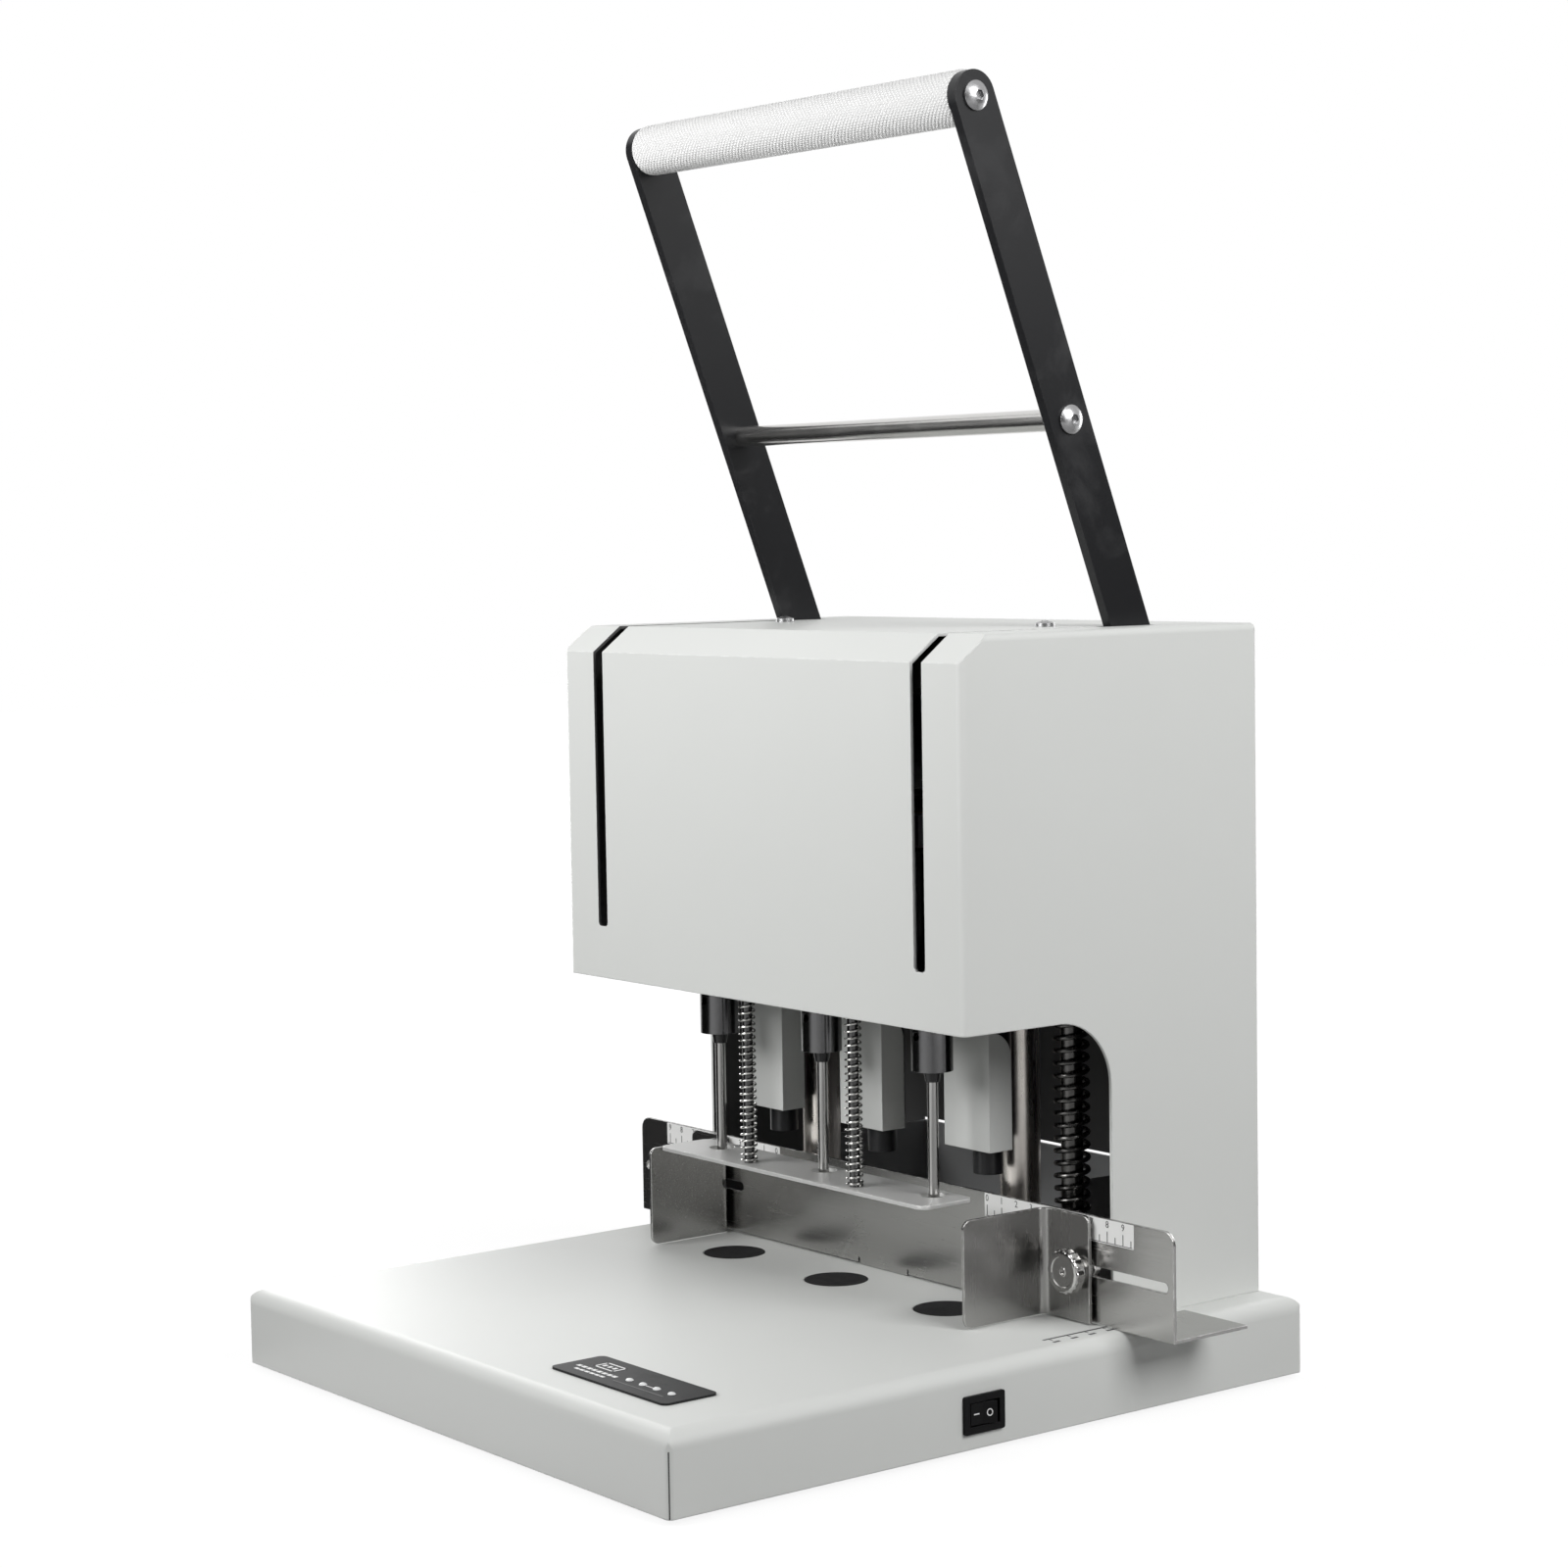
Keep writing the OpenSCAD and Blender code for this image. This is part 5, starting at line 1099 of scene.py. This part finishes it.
# Camera: place in metres, and yaw, pitch and roll in degrees
CAMERA_SPOT = (1.2272, -0.9286, 0.3900)
CAMERA_TURNS = (52.435, -4.318, -0.958)
# Softboxes: setting, place, aim and side, in metres
LIGHTS = (
    ("overhead", (0.35, -0.35, 1.45), (0.0, 0.0, 0.15), 1.3),
    ("front", (-0.25, -0.95, 0.77), (0.0, 0.0, 1.1), 0.8),
    ("side", (1.15, 0.15, 0.95), (0.0, 0.05, 0.62), 0.8),
    ("left", (-1.3, 0.2, 0.42), (0.0, 0.1, 0.36), 0.7),
    ("back", (-0.2, 1.35, 0.42), (0.0, 0.1, 0.36), 0.7))


def standing(x0, y0, x1, y1, tall):
    """Corners of an upright card."""
    return (x0, y0, 0.001), (x1, y1, 0.001), (x1, y1, tall), (x0, y0, tall)


def lying(*corners):
    """Corners of a card just above the floor."""
    return [(x, y, 0.0006) for x, y in corners]


# Cards that polished metal mirrors: name, corners, tone
CARDS = (
    ("left_card", standing(-0.95, -0.05, -0.15, -1.15, 0.9), 0.03),
    ("camera_side_card", standing(0.80, -1.90, 2.05, -0.20, 1.3), 0.03),
    ("right_card", standing(0.75, 1.30, 1.45, 0.40, 0.56), 0.03),
    ("low_card", lying((-0.95, -0.05), (-0.30, -1.0), (-0.185, -0.30), (-0.185, 0.12)), 0.03),
    ("floor_card", lying((0.185, -0.62), (1.0, -0.62), (1.0, 0.75), (0.185, 0.75)), 0.55))


class DRILL_OT_stage(bpy.types.Operator):
    """Lay the pale floor, set the lights, the surroundings and the camera"""
    bl_idname = "drill.stage"
    bl_label = "Stage"

    def execute(self, context):
        studio = context.scene.drill_studio
        lay_floor()
        surround(studio.ambient)
        for name, spot, target, side in LIGHTS:
            softbox(name + "_light", spot, target, side, getattr(studio, name))
        for name, corners, tone in CARDS:
            dark_card(name, corners, tone)
        set_camera(studio.lens)
        painted_trees = [material.node_tree for material in bpy.data.materials]
        for tree in [*painted_trees, *bpy.data.node_groups, context.scene.world.node_tree]:
            arrange(tree)
        return {"FINISHED"}


def pick_by_ray(tree, rest, seen, out):
    """The shader seen for rays that the eye, polished metal or clear parts send, else rest."""
    rays = add_node(tree, "LightPath")
    through = maths(tree, "MAXIMUM", rays.outputs["Is Glossy Ray"],
                    rays.outputs["Is Transmission Ray"])
    mix = add_node(tree, "MixShader")
    feed(maths(tree, "MAXIMUM", rays.outputs["Is Camera Ray"], through), mix, "Fac")
    join(rest, 0, mix, 1)
    join(seen, 0, mix, 2)
    join(mix, 0, out, "Surface")


def bare_material(name):
    """A material with nothing but its output node."""
    material = bpy.data.materials.new(name)
    material.use_nodes = True
    tree = material.node_tree
    tree.nodes.clear()
    return material, tree, add_node(tree, "OutputMaterial")


def stage_sheet(name, corners, material):
    """A flat four-cornered sheet of the studio."""
    mesh = bpy.data.meshes.new(name)
    mesh.from_pydata(corners, [], [(0, 1, 2, 3)])
    mesh.materials.append(material)
    sheet = put(name, mesh)
    return sheet


def lay_floor():
    """Pale floor: white to the eye and to polished metal, and it keeps a soft shadow."""
    material, tree, out = bare_material("floor_pale")
    matt = add_node(tree, "BsdfDiffuse", Color=(0.32, 0.32, 0.32, 1.0))
    lit = add_node(tree, "BsdfDiffuse", Color=(0.17, 0.17, 0.17, 1.0))
    glow = add_node(tree, "Emission", Color=WHITE)
    reach = add_node(tree, "VectorMath", operation="LENGTH")
    join(add_node(tree, "NewGeometry"), "Position", reach, 0)
    ramp = add_node(tree, "MapRange", From_Min=0.35, From_Max=1.2, To_Min=0.87,
                    To_Max=1.0)
    join(reach, "Value", ramp, "Value")
    join(ramp, "Result", glow, "Strength")
    pale = add_node(tree, "AddShader")
    join(glow, 0, pale, 0)
    join(lit, 0, pale, 1)
    pick_by_ray(tree, matt, pale, out)
    far = FLOOR_HALF
    stage_sheet("floor", [(-far, -far, 0), (far, -far, 0), (far, far, 0), (-far, far, 0)], material)


def surround(ambient):
    """White backdrop to the eye and to polished metal, dimmer light from all round."""
    world = bpy.data.worlds.new("surroundings")
    bpy.context.scene.world = world
    world.use_nodes = True
    tree = world.node_tree
    tree.nodes.clear()
    out = add_node(tree, "OutputWorld")
    soft = add_node(tree, "Background", Color=WHITE, Strength=ambient)
    white = add_node(tree, "Background", Color=WHITE, Strength=1.0)
    pick_by_ray(tree, soft, white, out)


def softbox(name, spot, target, side, power):
    """A square soft light aimed at a point."""
    light = bpy.data.lights.new(name, "AREA")
    light.shape = "RECTANGLE"
    light.size = light.size_y = side
    light.energy = power
    holder = put(name, light)
    holder.location = spot
    holder.rotation_euler = (Vector(target) - Vector(spot)).to_track_quat("-Z", "Y").to_euler()


def dark_card(name, corners, tone):
    """A dark card that only shows in polished metal, as in a product studio."""
    material, tree, out = bare_material("card_dark")
    cloth = add_node(tree, "BsdfDiffuse", Color=(tone, tone, tone, 1.0))
    join(cloth, "BSDF", out, "Surface")
    card = stage_sheet(name, corners, material)
    for kind in ("camera", "diffuse", "shadow", "transmission"):
        setattr(card, "visible_" + kind, False)


def set_camera(lens):
    """Camera at the photograph's place and angle."""
    yaw, pitch, roll = (math.radians(a) for a in CAMERA_TURNS)
    ahead = Vector((-math.sin(yaw) * math.cos(pitch), math.cos(yaw) * math.cos(pitch),
                    math.sin(pitch)))
    right = ahead.cross(Vector((0, 0, 1))).normalized()
    up = right.cross(ahead)
    across = right * math.cos(roll) + up * math.sin(roll)
    upright = up * math.cos(roll) - right * math.sin(roll)
    data = bpy.data.cameras.new("camera")
    data.lens = lens
    data.sensor_width = 36
    camera = put("camera", data)
    turn = Matrix((across, upright, -ahead)).transposed().to_4x4()
    camera.matrix_world = Matrix.Translation(CAMERA_SPOT) @ turn
    bpy.context.scene.camera = camera
    bpy.context.scene.view_settings.view_transform = "Standard"


# ---------------------------------------------------------------- panel and registration

PIECES = (DRILL_OT_finishes, DRILL_OT_grip, DRILL_OT_springs, DRILL_OT_knobs, DRILL_OT_rules,
          DRILL_OT_deck_scale, DRILL_OT_corner_seams, DRILL_OT_panel_print,
          DRILL_OT_switch_print, DRILL_OT_rear_fittings, DRILL_OT_stage)


class DRILL_PT_sidebar(bpy.types.Panel):
    """Pieces and sizes of the paper drill"""
    bl_idname = "DRILL_PT_sidebar"
    bl_label = "Paper Drill"
    bl_space_type = "VIEW_3D"
    bl_region_type = "UI"
    bl_category = "Paper Drill"

    def draw(self, context):
        layout = self.layout
        for settings in (context.scene.drill_finishes, context.scene.drill_sizes,
                         context.scene.drill_studio):
            box = layout.box()
            for key in settings.__annotations__:
                box.prop(settings, key)
        for piece in PIECES:
            layout.operator(piece.bl_idname)


CLASSES = (DrillFinishes, DrillSizes, DrillStudio) + PIECES + (DRILL_PT_sidebar,)


def register():
    for cls in CLASSES:
        bpy.utils.register_class(cls)
    bpy.types.Scene.drill_finishes = PointerProperty(type=DrillFinishes)
    bpy.types.Scene.drill_sizes = PointerProperty(type=DrillSizes)
    bpy.types.Scene.drill_studio = PointerProperty(type=DrillStudio)


def unregister():
    del bpy.types.Scene.drill_studio
    del bpy.types.Scene.drill_sizes
    del bpy.types.Scene.drill_finishes
    for cls in reversed(CLASSES):
        bpy.utils.unregister_class(cls)


def main():
    """Dress the whole machine."""
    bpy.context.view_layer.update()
    register()
    bpy.ops.drill.finishes()
    bpy.ops.drill.grip()
    bpy.ops.drill.springs()
    bpy.ops.drill.knobs()
    bpy.ops.drill.rules()
    bpy.ops.drill.deck_scale()
    bpy.ops.drill.corner_seams()
    bpy.ops.drill.panel_print()
    bpy.ops.drill.switch_print()
    bpy.ops.drill.rear_fittings()
    bpy.ops.drill.stage()


if __name__ == "__main__":
    main()
